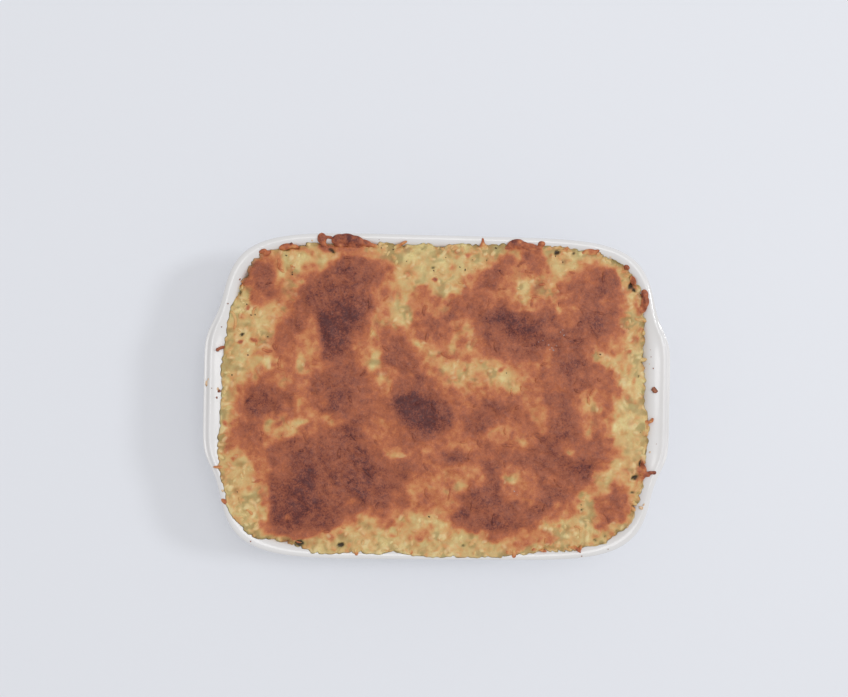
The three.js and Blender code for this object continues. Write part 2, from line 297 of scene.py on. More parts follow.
# %% [markdown]
# ## Where the dish's surface lies
#
# Food rests on the glaze, so later steps ask again and again how high the dish is
# at a place. A ray that falls straight down onto the mesh gives the answer. Blender
# keeps the faces in a search tree (BVH) that makes each such ray cheap. The same
# tool reads the height of the CAD pie, whose form the toasted top keeps.


# %% Falling rays
RAY_START = 0.1  # metres above the floor, higher than the part
DOWN = Vector((0, 0, -1))


def search_tree(piece):
    points = [point.co for point in piece.data.vertices]
    return BVHTree.FromPolygons(points, [face.vertices for face in piece.data.polygons])


def heights(tree, x, y):
    """Height of the highest surface at each place, or nan where there is none."""
    found = []
    for px, py in zip(np.ravel(x), np.ravel(y)):
        hit = tree.ray_cast(Vector((px * MM, py * MM, RAY_START)), DOWN)[0]
        found.append(hit.z / MM if hit else math.nan)
    return np.array(found).reshape(np.shape(x))


glaze_tree = search_tree(dish)
cad_pie_tree = search_tree(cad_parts["pie"])
print("rim at a side, mm:", heights(glaze_tree, [0.0], [HALF_WIDTH - 2.8]).round(2))

# %% [markdown]
# ## How brown the top is
#
# The grill burnt the high places, browned most of the rest, and left the hollows
# and the border pale. That pattern is what people remember of this pie, so it is
# painted as soft oval patches of a browning level, each over those before it, from
# 0, pale, to 1, nearly burnt. The places are bent by noise before they are looked
# up, so that no patch keeps its oval outline.
#
# The level is worked out once on a map of the top, a picture seen from above with
# one value per cell. Maps are quick to paint on, and any piece reads them.

# %% Maps of the top
CELL = 0.4
MAP_X = np.arange(-166, 166.1, CELL)
MAP_Y = np.arange(-117, 117.1, CELL)
plan_x, plan_y = np.meshgrid(MAP_X, MAP_Y)


def read_map(values, x, y):
    """The map's value at each place, between its four nearest cells."""
    column = np.clip((x - MAP_X[0]) / CELL, 0, len(MAP_X) - 1.001)
    row = np.clip((y - MAP_Y[0]) / CELL, 0, len(MAP_Y) - 1.001)
    i, j = column.astype(int), row.astype(int)
    low = blend(values[j, i], values[j, i + 1], column - i)
    high = blend(values[j + 1, i], values[j + 1, i + 1], column - i)
    return blend(low, high, row - j)


def blur_map(values, size):
    """A soft copy of a map, with a Gaussian of `size` millimetres."""
    reach = int(3 * size / CELL)
    weights = np.exp(-0.5 * (np.arange(-reach, reach + 1) * CELL / size) ** 2)
    weights /= weights.sum()
    for axis in (0, 1):
        margin = [(reach, reach) if k == axis else (0, 0) for k in (0, 1)]
        padded = np.pad(values, margin, mode="edge")
        values = sum(
            weight * np.take(padded, np.arange(k, k + values.shape[axis]), axis)
            for k, weight in enumerate(weights)
        )
    return values


def height_at(surface, x, y):
    """A map's value at one place, as a plain number."""
    return float(read_map(surface, np.array(x), np.array(y)))


def window_along(marks, middle, reach):
    first = int((middle - reach - marks[0]) / CELL)
    last = int((middle + reach - marks[0]) / CELL) + 2
    return slice(*np.clip([first, last], 0, len(marks)))


def map_window(x, y, reach):
    """The part of the maps within `reach` of a place, as slices."""
    return window_along(MAP_Y, y, reach), window_along(MAP_X, x, reach)


print("map cells:", plan_x.shape)

# %% Browned masses
# middle x and y, half length, half width, turn in degrees, browning level
WASHES = 4  # the first patches are wide washes with very soft edges
PATCHES = [
    # the whole top, toasted
    (-6, 0, 134, 86, 0, 0.47), (-16, 18, 60, 60, 0, 0.5), (-110, 0, 36, 90, 0, 0.5),
    (104, -30, 28, 66, 0, 0.5),
    # upper left mass
    (-125, 80, 14, 14, 0, 0.6), (-127, 68, 9, 6, 0, 0.58), (-124, 81, 9, 10, 20, 0.72),
    (-120, 75, 5, 7, 0, 0.76), (-108, 76, 8, 10, 0, 0.46), (-104, 85, 10, 6, -20, 0.5),
    # the big mass below the dark drips
    (-68, 82, 16, 17, 0, 0.76), (-52, 86, 16, 11, -8, 0.7), (-44, 84, 8, 6, 0, 0.72),
    (-86, 80, 13, 7, 6, 0.66), (-70, 58, 25, 34, 0, 0.76), (-92, 66, 13, 18, 0, 0.72),
    (-105, 48, 12, 15, -14, 0.68), (-114, 42, 5, 8, 10, 0.6), (-109, 34, 10, 13, 6, 0.66),
    (-104, 24, 6, 7, 20, 0.56), (-88, 68, 5, 7, 0, 0.82), (-64, 74, 5, 14, 0, 0.8),
    (-74, 45, 14, 22, 0, 0.84), (-64, 55, 9, 9, 0, 0.86), (-76, 49, 9, 8, 0, 0.99),
    (-65, 56, 6, 6, 40, 0.96), (-74, 38, 7, 12, 0, 0.96), (-73, 24, 5, 9, 0, 0.8),
    # down the middle left
    (-66, 6, 17, 28, 0, 0.7), (-64, 8, 12, 16, 0, 0.75), (-72, 0, 6, 11, 0, 0.82),
    (-85, -1, 8, 10, 0, 0.62), (-100, 2, 10, 8, 0, 0.6), (-46, -4, 14, 16, 0, 0.62),
    # left middle mass
    (-120, -2, 20, 15, -6, 0.62), (-116, 12, 11, 6, 8, 0.6), (-121, -3, 16, 11, -6, 0.75),
    (-119, -5, 8, 7, 0, 0.84), (-128, -7, 4, 3, 0, 0.78), (-132, -24, 12, 8, -8, 0.6),
    (-130, -23, 8, 4, 10, 0.7), (-126, -36, 14, 6, -10, 0.58),
    # lower left mass
    (-92, -60, 34, 35, 22, 0.72), (-92, -90, 26, 7, 8, 0.7), (-92, -62, 30, 31, 16, 0.78),
    (-100, -78, 22, 17, 12, 0.76), (-114, -46, 11, 13, 0, 0.66), (-96, -70, 19, 20, 16, 0.85),
    (-104, -82, 11, 8, 0, 0.86), (-80, -84, 13, 7, 0, 0.82), (-89, -57, 6, 9, 0, 0.96),
    (-77, -57, 4, 6, 0, 0.93), (-76, -45, 4, 3, 0, 0.9), (-95, -40, 8, 5, 0, 0.82),
    (-98, -86, 3, 3, 0, 0.94), (-64, -78, 12, 6, 10, 0.76), (-60, -60, 22, 25, 0, 0.76),
    (-60, -34, 16, 20, 0, 0.74), (-62, -32, 6, 13, 0, 0.82), (-52, -54, 11, 18, 0, 0.84),
    (-48, -49, 4, 5, 0, 0.94), (-34, -60, 12, 14, 0, 0.74), (-40, -76, 13, 6, 0, 0.68),
    (-36, -84, 8, 5, 0, 0.56), (-26, -72, 8, 8, 0, 0.6),
    # the middle
    (-22, -34, 26, 18, 0, 0.6), (-28, -50, 12, 9, 0, 0.7), (-14, -8, 24, 16, -34, 0.74),
    (-14, -9, 20, 13, -34, 0.87), (-17, -8, 14, 9, -34, 1.0), (-9, -14, 9, 7, -60, 0.99),
    (-24, -2, 6, 4, -30, 0.98), (3, -14, 5, 8, 0, 0.84), (-28, 28, 13, 10, 0, 0.64),
    (-33, 29, 7, 6, -20, 0.74), (-22, 24, 5, 7, 0, 0.72), (-12, 14, 10, 10, -50, 0.66),
    (-10, 12, 6, 7, 0, 0.72), (-26, 10, 7, 8, 0, 0.66), (-36, 16, 5, 4, 0, 0.5),
    (-2, 50, 22, 10, 6, 0.62), (-10, 64, 12, 8, 0, 0.5), (-12, 73, 6, 6, 0, 0.56),
    (-8, 54, 4, 4, 0, 0.74), (2, 49, 7, 9, 0, 0.7), (4, 62, 8, 6, 40, 0.6),
    (-31, 44, 3.4, 3, 0, 0.6),
    # upper middle and the dark band
    (36, 82, 14, 17, -8, 0.56), (31, 84, 10, 9, 24, 0.72), (39, 92, 5, 6, -20, 0.68),
    (24, 68, 12, 10, 0, 0.62), (14, 68, 9, 8, 30, 0.58), (20, 62, 6, 4, 0, 0.66),
    (60, 50, 42, 21, -8, 0.62), (54, 48, 30, 17, -10, 0.76), (54, 53, 23, 10, -16, 0.86),
    (62, 48, 5, 4, 0, 0.98), (66, 43, 7, 4, 0, 0.86), (72, 62, 8, 7, 0, 0.68),
    (86, 44, 16, 16, 0, 0.72), (40, 36, 8, 8, 0, 0.62), (60, 32, 10, 5, 0, 0.72),
    (60, 98, 9, 12, -10, 0.56), (68, 91, 8, 5, -30, 0.68), (59, 101, 4, 6, 0, 0.72),
    # upper right mass
    (106, 70, 24, 25, 0, 0.6), (106, 66, 19, 22, 0, 0.68), (111, 81, 14, 12, 30, 0.76),
    (96, 85, 9, 8, 0, 0.58), (87, 75, 7, 4, 10, 0.68), (86, 66, 8, 12, 0, 0.58),
    (123, 74, 6, 6, 0, 0.66), (109, 60, 9, 12, 20, 0.74), (110, 50, 13, 7, 0, 0.74),
    (109, 52, 5, 4, 0, 0.84), (118, 88, 5, 5, 0, 0.72),
    # right middle
    (92, 22, 20, 18, 0, 0.68), (92, 20, 13, 13, 0, 0.76), (90, 15, 3, 4, 0, 0.84),
    (102, 14, 6, 6, 0, 0.74), (119, 12, 7, 11, 0, 0.64), (110, 26, 6, 6, -30, 0.56),
    (76, 8, 12, 20, 0, 0.64), (84, -3, 14, 8, -24, 0.76), (78, 0, 6, 4, 0, 0.78),
    (116, -4, 5, 9, 0, 0.6), (92, -10, 12, 8, 0, 0.7),
    # right lower
    (80, -34, 20, 24, 0, 0.68), (76, -32, 13, 18, 0, 0.76), (90, -24, 9, 12, 0, 0.76),
    (108, -32, 18, 14, -10, 0.66), (119, -35, 5, 8, 0, 0.7), (94, -48, 16, 14, 0, 0.72),
    (102, -48, 9, 6, -14, 0.87), (104, -52, 4, 6, 0, 0.86), (92, -56, 7, 9, 10, 0.77),
    (84, -64, 18, 12, 0, 0.68), (82, -68, 10, 6, 12, 0.76), (94, -76, 8, 6, 0, 0.56),
    # centre right
    (34, -12, 26, 14, 0, 0.6), (27, -16, 11, 9, 0, 0.76), (39, -6, 10, 5, -14, 0.74),
    (38, -38, 26, 12, 0, 0.62), (10, -42, 11, 8, 0, 0.74), (8, -43, 6, 4, 0, 0.86),
    (44, -36, 5, 5, 0, 0.72), (34, -35, 4, 3, 0, 0.72), (34, -45, 4, 4, 0, 0.72),
    (58, -43, 8, 4, 0, 0.72), (6, -30, 12, 6, 0, 0.56),
    # lower middle mass
    (36, -79, 28, 19, -8, 0.66), (38, -78, 21, 14, -8, 0.76), (18, -78, 8, 10, -10, 0.77),
    (18, -81, 3.5, 4, 0, 0.85), (37, -57, 7, 10, 0, 0.74), (24, -60, 5, 4, 0, 0.6),
    (41, -88, 7, 7, 0, 0.85), (52, -80, 8, 9, 0, 0.77), (30, -66, 14, 6, 0, 0.75),
    (66, -78, 10, 8, 0, 0.66), (67, -78, 6, 3, 0, 0.74), (68, -87, 6, 6, 0, 0.66),
    (63, -98, 7, 6, 0, 0.5), (77, -97, 5, 3, -20, 0.5), (54, -100, 6, 4, 0, 0.42),
    # bottom right mass
    (125, -76, 14, 17, -12, 0.54), (125, -75, 9, 11, 0, 0.72), (118, -82, 5, 9, 0, 0.76),
    (127, -66, 6, 6, 0, 0.68), (112, -72, 4, 5, 0, 0.6), (119, -92, 5, 5, 0, 0.56),
    # the orange bits round the edge
    (-125, 97, 4, 3, 20, 0.62), (-95, 100, 6, 1.6, 0, 0.52), (-106, 103, 3, 2, 0, 0.5),
    (-118, 92, 4, 8, 20, 0.46), (-142, 47, 4, 8, 10, 0.44), (-137, 41, 2.4, 2.4, 0, 0.49),
    (-128, 37, 4, 2.4, 0, 0.44), (-124, 29, 7, 2.6, 0, 0.42), (-145, -30, 6, 5, 0, 0.46),
    (-146, -20, 6, 4, 0, 0.4), (-148, -72, 4, 3, 0, 0.42), (-62, -94, 4, 6, 20, 0.36),
    (-52, -88, 8, 3, 20, 0.36), (132, -52, 6, 4, 0, 0.46), (138, -40, 6, 4, 0, 0.44),
    (141, 68, 3, 9, 6, 0.62), (133, 79, 3.5, 4, -40, 0.66), (129, 92, 4, 3, 0, 0.46),
    (104, 103, 6, 3, 0, 0.44), (143, -48, 4, 7, 10, 0.62), (139, -54, 5, 3, 0, 0.5),
    (146, -15, 5, 6, 0, 0.4), (132, -2, 6, 4, 0, 0.34), (143, 25, 4, 20, 0, 0.26),
]
print("browned masses:", len(PATCHES), "patches")

# %% [markdown]
# Between the browned masses the cheese stayed lighter, from orange to straw. These
# islands are laid over the masses, because a later patch covers an earlier one.

# %% Lighter islands
PATCHES += [
    # upper left
    (-107, 88, 5, 4, -30, 0.28), (-111, 84, 3, 3, 0, 0.16), (-104, 73, 5, 8, 0, 0.28),
    (-104, 72, 2.4, 5, 0, 0.1), (-98, 80, 6, 4, 0, 0.4), (-91, 34, 8, 17, -4, 0.4),
    (-89, 45, 3.5, 7, 0, 0.3), (-89, 28, 4, 12, 0, 0.3), (-96, 24, 6, 9, 0, 0.26),
    (-96, 23, 4, 6, 0, 0.1), (-88, 32, 1.8, 2.4, 0, 0.12), (-86, 20, 8, 5, 0, 0.46),
    (-95, 8, 4, 4, 0, 0.3), (-107, 10, 4, 6, 0, 0.34), (-48, 44, 6, 12, 0, 0.36),
    (-46, 41, 3, 6, 10, 0.14), (-55, 32, 5, 10, 20, 0.42), (-46, 26, 6, 10, 0, 0.28),
    (-46, 26, 3.6, 6.5, 0, 0.08), (-39, 10, 7, 9, 20, 0.36), (-39, 10, 3.2, 4.6, 20, 0.12),
    (-44, -22, 7, 6, 0, 0.42), (-43, -25, 4, 3.4, 0, 0.3), (-40, -17, 3, 2.4, 0, 0.3),
    (-20, 15, 2, 2, 0, 0.4),
    # the pale gap in the upper middle
    (-34, 70, 12, 26, 8, 0.46), (-32, 64, 10, 16, 6, 0.12), (-26, 58, 6, 10, 0, 0.1),
    (-36, 72, 5, 8, 0, 0.14), (-30, 70, 2.4, 6, 0, 0.36), (-42, 58, 5, 12, 0, 0.34),
    (-16, 42, 7, 5, -20, 0.36), (-14, 38, 4, 3, -20, 0.12), (-18, 64, 4, 8, 0, 0.4),
    (-6, 30, 8, 6, -20, 0.3), (-6, 28, 5, 4, -20, 0.12), (2, 60, 4, 4, 0, 0.34),
    (13, 42, 13, 12, 0, 0.42), (20, 39, 4, 11, 8, 0.14), (9, 35, 4, 5, 0, 0.16),
    (12, 43, 3.5, 3.5, 0, 0.18), (16, 30, 6, 4, -20, 0.5), (12, 47, 9, 4, 0, 0.4),
    # the pale band right of the middle
    (22, 18, 33, 12, -6, 0.38), (16, 19, 22, 7, 4, 0.16), (42, 17, 13, 7, -24, 0.14),
    (50, 9, 7, 6, -20, 0.14), (24, 10, 12, 5, 8, 0.3), (8, 12, 8, 4, 0, 0.26),
    (60, 12, 5, 12, 0, 0.4), (70, -10, 6, 7.5, 0, 0.3), (64, 2, 6, 10, 0, 0.46),
    (62, 24, 5, 3, 0, 0.3), (76, 32, 3, 3, 0, 0.34), (74, 26, 3, 4, 0, 0.46), (34, 4, 3, 3, 0, 0.4),
    # the pale gap in the upper right
    (62, 76, 15, 13, 4, 0.38), (62, 77, 11, 9, 0, 0.14), (58, 66, 10, 5, 0, 0.16),
    (76, 82, 8, 9, 0, 0.2), (53, 99, 3, 3, 0, 0.18), (54, 92, 6, 4, 0, 0.4),
    (82, 66, 4, 6, 14, 0.3), (82, 65, 1.8, 3, 14, 0.12), (93, 65, 3, 2, 0, 0.36),
    (114, 70, 3.4, 3, 0, 0.42), (117, 30, 15, 6, -18, 0.34), (116, 29, 11, 4, -24, 0.12),
    (124, 36, 8, 7, 0, 0.26), (125, 34, 5, 4, 0, 0.1), (126, 44, 6, 4, 0, 0.42),
    (128, 56, 3, 5, 0, 0.3),
    # right
    (105, -3, 9, 9, 0, 0.44), (104, -1, 5.5, 5.5, 0, 0.14), (110, -5, 4, 3, 0, 0.12),
    (106, -16, 9, 5, 0, 0.42), (104, -23, 3, 3, 0, 0.34), (92, -37, 3.6, 4, 0, 0.4),
    (92, -37, 2, 2, 0, 0.3), (60, -27, 8, 7, -20, 0.4), (59, -28, 4.5, 3.4, -24, 0.12),
    (42, -24, 8, 6, 10, 0.36), (44, -23, 3, 3.2, 0, 0.14), (50, -27, 3, 3, 0, 0.46),
    (23, -34, 6, 3.4, 0, 0.36), (9, -32, 3, 2, 0, 0.4), (52, -55, 8, 8, 0, 0.34),
    (51, -56, 4.4, 4, 0, 0.1), (56, -66, 4, 4, 0, 0.4), (83, -73, 3, 2.4, 0, 0.42),
    # lower middle
    (-28, -39, 8, 4.5, 0, 0.36), (-28, -39, 5.5, 2.6, 0, 0.22), (-10, -34, 6, 4, 0, 0.44),
    (12, -57, 20, 9, 8, 0.44), (22, -50, 8, 5, 0, 0.4), (5, -61, 4.4, 5, 0, 0.12),
    (14, -60, 4, 2.6, 10, 0.16), (0, -53, 6, 5, 0, 0.2), (-12, -64, 12, 8, 0, 0.46),
    (-16, -66, 4.4, 4.4, 0, 0.26), (-6, -60, 4, 4, 0, 0.22), (2, -72, 12, 5, 0, 0.44),
    (-78, -16, 12, 5, 0, 0.44), (-76, -17, 5, 2.8, 0, 0.3), (-95, -9, 5, 8, 0, 0.32),
    (-96, -8, 1.4, 2.4, 0, 0.12), (-107, -22, 17, 8, 4, 0.34), (-117, -22, 3.6, 5, 10, 0.12),
    (-102, -23, 7, 5, 14, 0.1), (-96, -18, 6, 4, 40, 0.14), (-118, -32, 4, 4, 0, 0.4),
    (-60, -73, 4, 2.4, 0, 0.5), (-30, -84, 3, 3, 0, 0.5), (-123, -50, 6, 9, 0, 0.36),
    (-140, -38, 4, 3, 0, 0.14), (118, -50, 12, 8, 14, 0.46), (116, -55, 7, 8, 0, 0.14),
    (124, -46, 8, 8, 0, 0.16), (112, -63, 4, 4, 0, 0.2), (103, -72, 7, 11, 0, 0.34),
    (103, -71, 5, 8, 0, 0.1), (128, -88, 6, 5, 30, 0.2), (124, -80, 3, 3, 0, 0.4),
]
print("with the lighter islands:", len(PATCHES), "patches")

# %% [markdown]
# Close to the glaze the dish shades the food and the top stays pale all the way
# round, with a few orange marks.

# %% Pale border
PATCHES += [
    # all round
    (-144, 24, 12, 32, 0, 0.1), (-140, 0, 6, 12, 0, 0.52), (-130, 46, 16, 16, -26, 0.12),
    (-138, 60, 12, 14, 0, 0.08), (-122, 24, 14, 7, 10, 0.12), (-150, 0, 7, 40, 0, 0.12),
    (-96, 94, 18, 9, -2, 0.1), (-84, 99, 10, 6, 0, 0.1), (-108, 100, 12, 5, 10, 0.18),
    (-4, 93, 30, 19, 0, 0.06), (4, 82, 13, 14, -24, 0.08), (-24, 84, 10, 10, 0, 0.12),
    (24, 99, 14, 7, 0, 0.14), (-44, 101, 16, 5, 0, 0.2), (84, 96, 14, 12, -20, 0.1),
    (100, 102, 26, 8, -8, 0.14), (138, 50, 8, 40, -4, 0.14), (134, 84, 6, 12, -30, 0.12),
    (138, 0, 15, 44, 0, 0.08), (131, -20, 10, 16, -10, 0.1), (120, -30, 5, 8, 10, 0.56),
    (132, -38, 9, 8, 0, 0.1), (128, -58, 3, 6, 0, 0.34), (138, -76, 6, 20, -20, 0.2),
    (103, -89, 18, 10, 8, 0.1), (82, -89, 12, 8, 0, 0.16), (90, -99, 30, 8, 6, 0.12),
    (10, -101, 50, 7, 0, 0.12), (-8, -89, 16, 12, 0, 0.08), (-50, -84, 8, 4, 0, 0.14),
    (-48, -100, 34, 9, 0, 0.14), (-88, -104, 34, 6, -4, 0.16), (-136, -70, 14, 30, 8, 0.1),
    (-123, -58, 5, 18, 0, 0.4), (-120, -74, 4, 8, 0, 0.16), (-136, -52, 8, 10, 10, 0.16),
    (-36, -88, 5, 3, 0, 0.42), (-32, -87, 3, 3, 0, 0.52), (48, -104, 12, 4, 0, 0.24),
]
print("with the pale border:", len(PATCHES), "patches")

# %% [markdown]
# A painter steps back, compares, and goes over the work with a smaller brush. These
# patches are the smaller brush: they break up the broad ones and sharpen their edges.

# %% Smaller patches
PATCHES += [
    # left half
    (-113, 58, 9, 5, 10, 0.3), (-120, 59, 8, 4, 0, 0.16), (-104, 66, 4, 5, 0, 0.52),
    (-133, 84, 3, 7, 10, 0.5), (-123, 93, 5, 4, 0, 0.5), (-113, 93, 4, 8, 10, 0.42),
    (-95, 100, 7, 2, 0, 0.36), (-89, 89, 7, 3, 0, 0.46), (-64, 101, 16, 2.6, -8, 0.5),
    (-80, 101, 4, 2.4, 0, 0.4), (-105, 73, 4, 6, 0, 0.34), (-129, 66, 4, 5, 0, 0.6),
    (-91, 36, 7, 14, -4, 0.46), (-97, 25, 5, 8, 0, 0.34), (-96, 23, 2.6, 4, 0, 0.16),
    (-88, 30, 3, 6, 0, 0.34), (-112, 28, 7, 3.5, -10, 0.52), (-128, 38, 3, 2.4, 0, 0.46),
    (-124, 29, 5, 2, -10, 0.4), (-126, 15, 6, 3, 20, 0.4), (-142, 4, 3, 10, 0, 0.26),
    (-136, -16, 6, 3, -20, 0.5), (-110, -15, 8, 3, 0, 0.44), (-95, -6, 5, 7, 0, 0.46),
    (-97, -6, 1.6, 2.6, 0, 0.26), (-88, -22, 5, 4, 0, 0.56), (-143, -36, 6, 4, 0, 0.44),
    (-122, -45, 5, 6, 0, 0.58), (-120, -62, 2.6, 10, 0, 0.46), (-46, -24, 7, 5, 0, 0.5),
    (-38, 82, 6, 10, 10, 0.48), (-34, 69, 4, 8, 0, 0.34), (-16, 65, 4, 4, 0, 0.52),
    (-13, 57, 4, 3, 0, 0.52), (-38, 52, 3, 7, 0, 0.32), (-34, 41, 5, 5, 0, 0.52),
    (-12, 29, 3, 5, 0, 0.5), (-2, 17, 7, 4, -40, 0.42), (0, -50, 6, 5, 0, 0.42),
    (-10, -77, 8, 3, -10, 0.44), (4, -83, 4, 3, 0, 0.4), (-12, -95, 7, 3, 10, 0.38),
    (-44, -82, 5, 3, -20, 0.36), (-56, -88, 4, 2.5, 0, 0.18), (-66, -95, 5, 3, 30, 0.06),
    (-24, -85, 8, 4, -30, 0.26), (-63, -87, 3, 3, 0, 0.52), (-90, -96, 12, 3, 6, 0.64),
    (-118, -90, 4, 4, 0, 0.6),
    # right half
    (52, 66, 4, 4, 0, 0.42), (67, 67, 5, 5, 0, 0.44), (47, 77, 4, 8, 0, 0.56),
    (75, 65, 3, 3, 0, 0.48), (84, 69, 4, 4, 0, 0.42), (91, 87, 4, 3, 0, 0.48),
    (83, 80, 4, 3, 0, 0.48), (29, 92, 5, 3, 0, 0.14), (6, 91, 3, 3, 0, 0.02),
    (18, 75, 3, 3, 0, 0.46), (15, 81, 6, 2.6, 10, 0.36), (7, 67, 3, 3, 0, 0.46),
    (46, 96, 6, 5, -20, 0.58), (70, 95, 4, 6, 0, 0.64), (104, 95, 7, 3, 0, 0.52),
    (129, 93, 3, 3, 0, 0.5), (134, 80, 3, 4, -40, 0.58), (130, 77, 3, 4, 0, 0.42),
    (138, 66, 3, 5, 0, 0.5), (127, 48, 5, 4, 0, 0.46), (112, 41, 10, 4, -5, 0.54),
    (124, 40, 6, 5, 0, 0.42), (104, 37, 4, 5, 0, 0.56), (129, 36, 3, 7, 0, 0.38),
    (125, 5, 4, 4, 0, 0.52), (122, -11, 3, 4, 0, 0.46), (99, -2, 4, 5, 0, 0.46),
    (108, -1, 6, 4, 0, 0.4), (104, 1, 4, 4, 0, 0.32), (118, -24, 5, 3, 0, 0.4),
    (124, -27, 4, 4, 0, 0.24), (118, -16, 3, 4, 0, 0.5), (133, -32, 5, 6, 0, 0.1),
    (124, -37, 7, 3, 40, 0.5), (114, -46, 5, 3, 50, 0.56), (134, -53, 4, 4, 0, 0.22),
    (107, -62, 5, 3, 0, 0.42), (116, -71, 4, 3, 0, 0.52), (115, -85, 5, 5, 0, 0.64),
    (80, -82, 5, 4, 0, 0.52), (124, -77, 4, 4, 0, 0.66), (74, -95, 10, 4, -10, 0.48),
    (40, -96, 7, 4, 0, 0.6), (48, -97, 4, 3, 0, 0.46), (62, -97, 6, 5, 0, 0.46),
    (50, -49, 6, 3, 0, 0.5), (62, -62, 7, 6, 0, 0.52), (50, -63, 4, 4, 0, 0.6),
    (19, -46, 9, 2.6, 0, 0.56), (10, -76, 4, 4, 0, 0.52), (42, -24, 6, 5, 0, 0.44),
    (42, -23, 3, 2.5, 0, 0.3), (59, -28, 6, 5, 0, 0.46), (60, -29, 3, 2.4, -24, 0.24),
    (66, 0, 5, 5, 0, 0.54), (70, -10, 4.5, 5, 0, 0.42), (76, 33, 4, 6, 20, 0.6),
    (63, 21, 6, 4, 20, 0.5), (32, 6, 8, 3, 0, 0.5), (28, 17, 4, 4, -30, 0.3),
    (18, 28, 3, 4, 0, 0.48), (12, 51, 3, 3, 0, 0.4), (24, 38, 3, 6, 0, 0.5),
    (-1, 57, 3, 2.4, 0, 0.46), (135, -15, 3, 3, 0, 0.26), (139, -2, 4, 5, 0, 0.02),
    # small brown and orange marks in the pale parts
    (10, 98, 2, 1.8, 0, 0.74), (20, 99.5, 3.4, 1.7, 10, 0.6), (-5, 82, 1.7, 1.4, 0, 0.74),
    (-137, 36, 1.8, 1.4, 0, 0.64), (-129, 38.5, 2.4, 1.8, 20, 0.7), (-134, 60, 1.8, 1.4, 0, 0.54),
    (-110, -19, 1.4, 1.8, 0, 0.5), (-103, -84, 1.4, 1.4, 0, 0.44), (-140, -45, 1.8, 1.4, 0, 0.44),
    (16, 21, 1.6, 3, 30, 0.5), (43, 21, 2, 1.6, 0, 0.54), (-30, -96, 2.4, 1.6, 0, 0.54),
    (-2, 29, 1.4, 1.4, 0, 0.44), (132, 2, 3, 2, 0, 0.5), (133, 22, 1.6, 3.4, 0, 0.44),
    (137, 14, 1.6, 2, 0, 0.4), (86, -88, 1.6, 1.6, 0, 0.4), (100, -90, 3.4, 1.6, 30, 0.46),
]
print("with the smaller patches:", len(PATCHES), "patches")

# %% [markdown]
# The last touches are only a few millimetres wide: orange rims of brown masses,
# pale grains that show through, and spots that took more heat than those around.

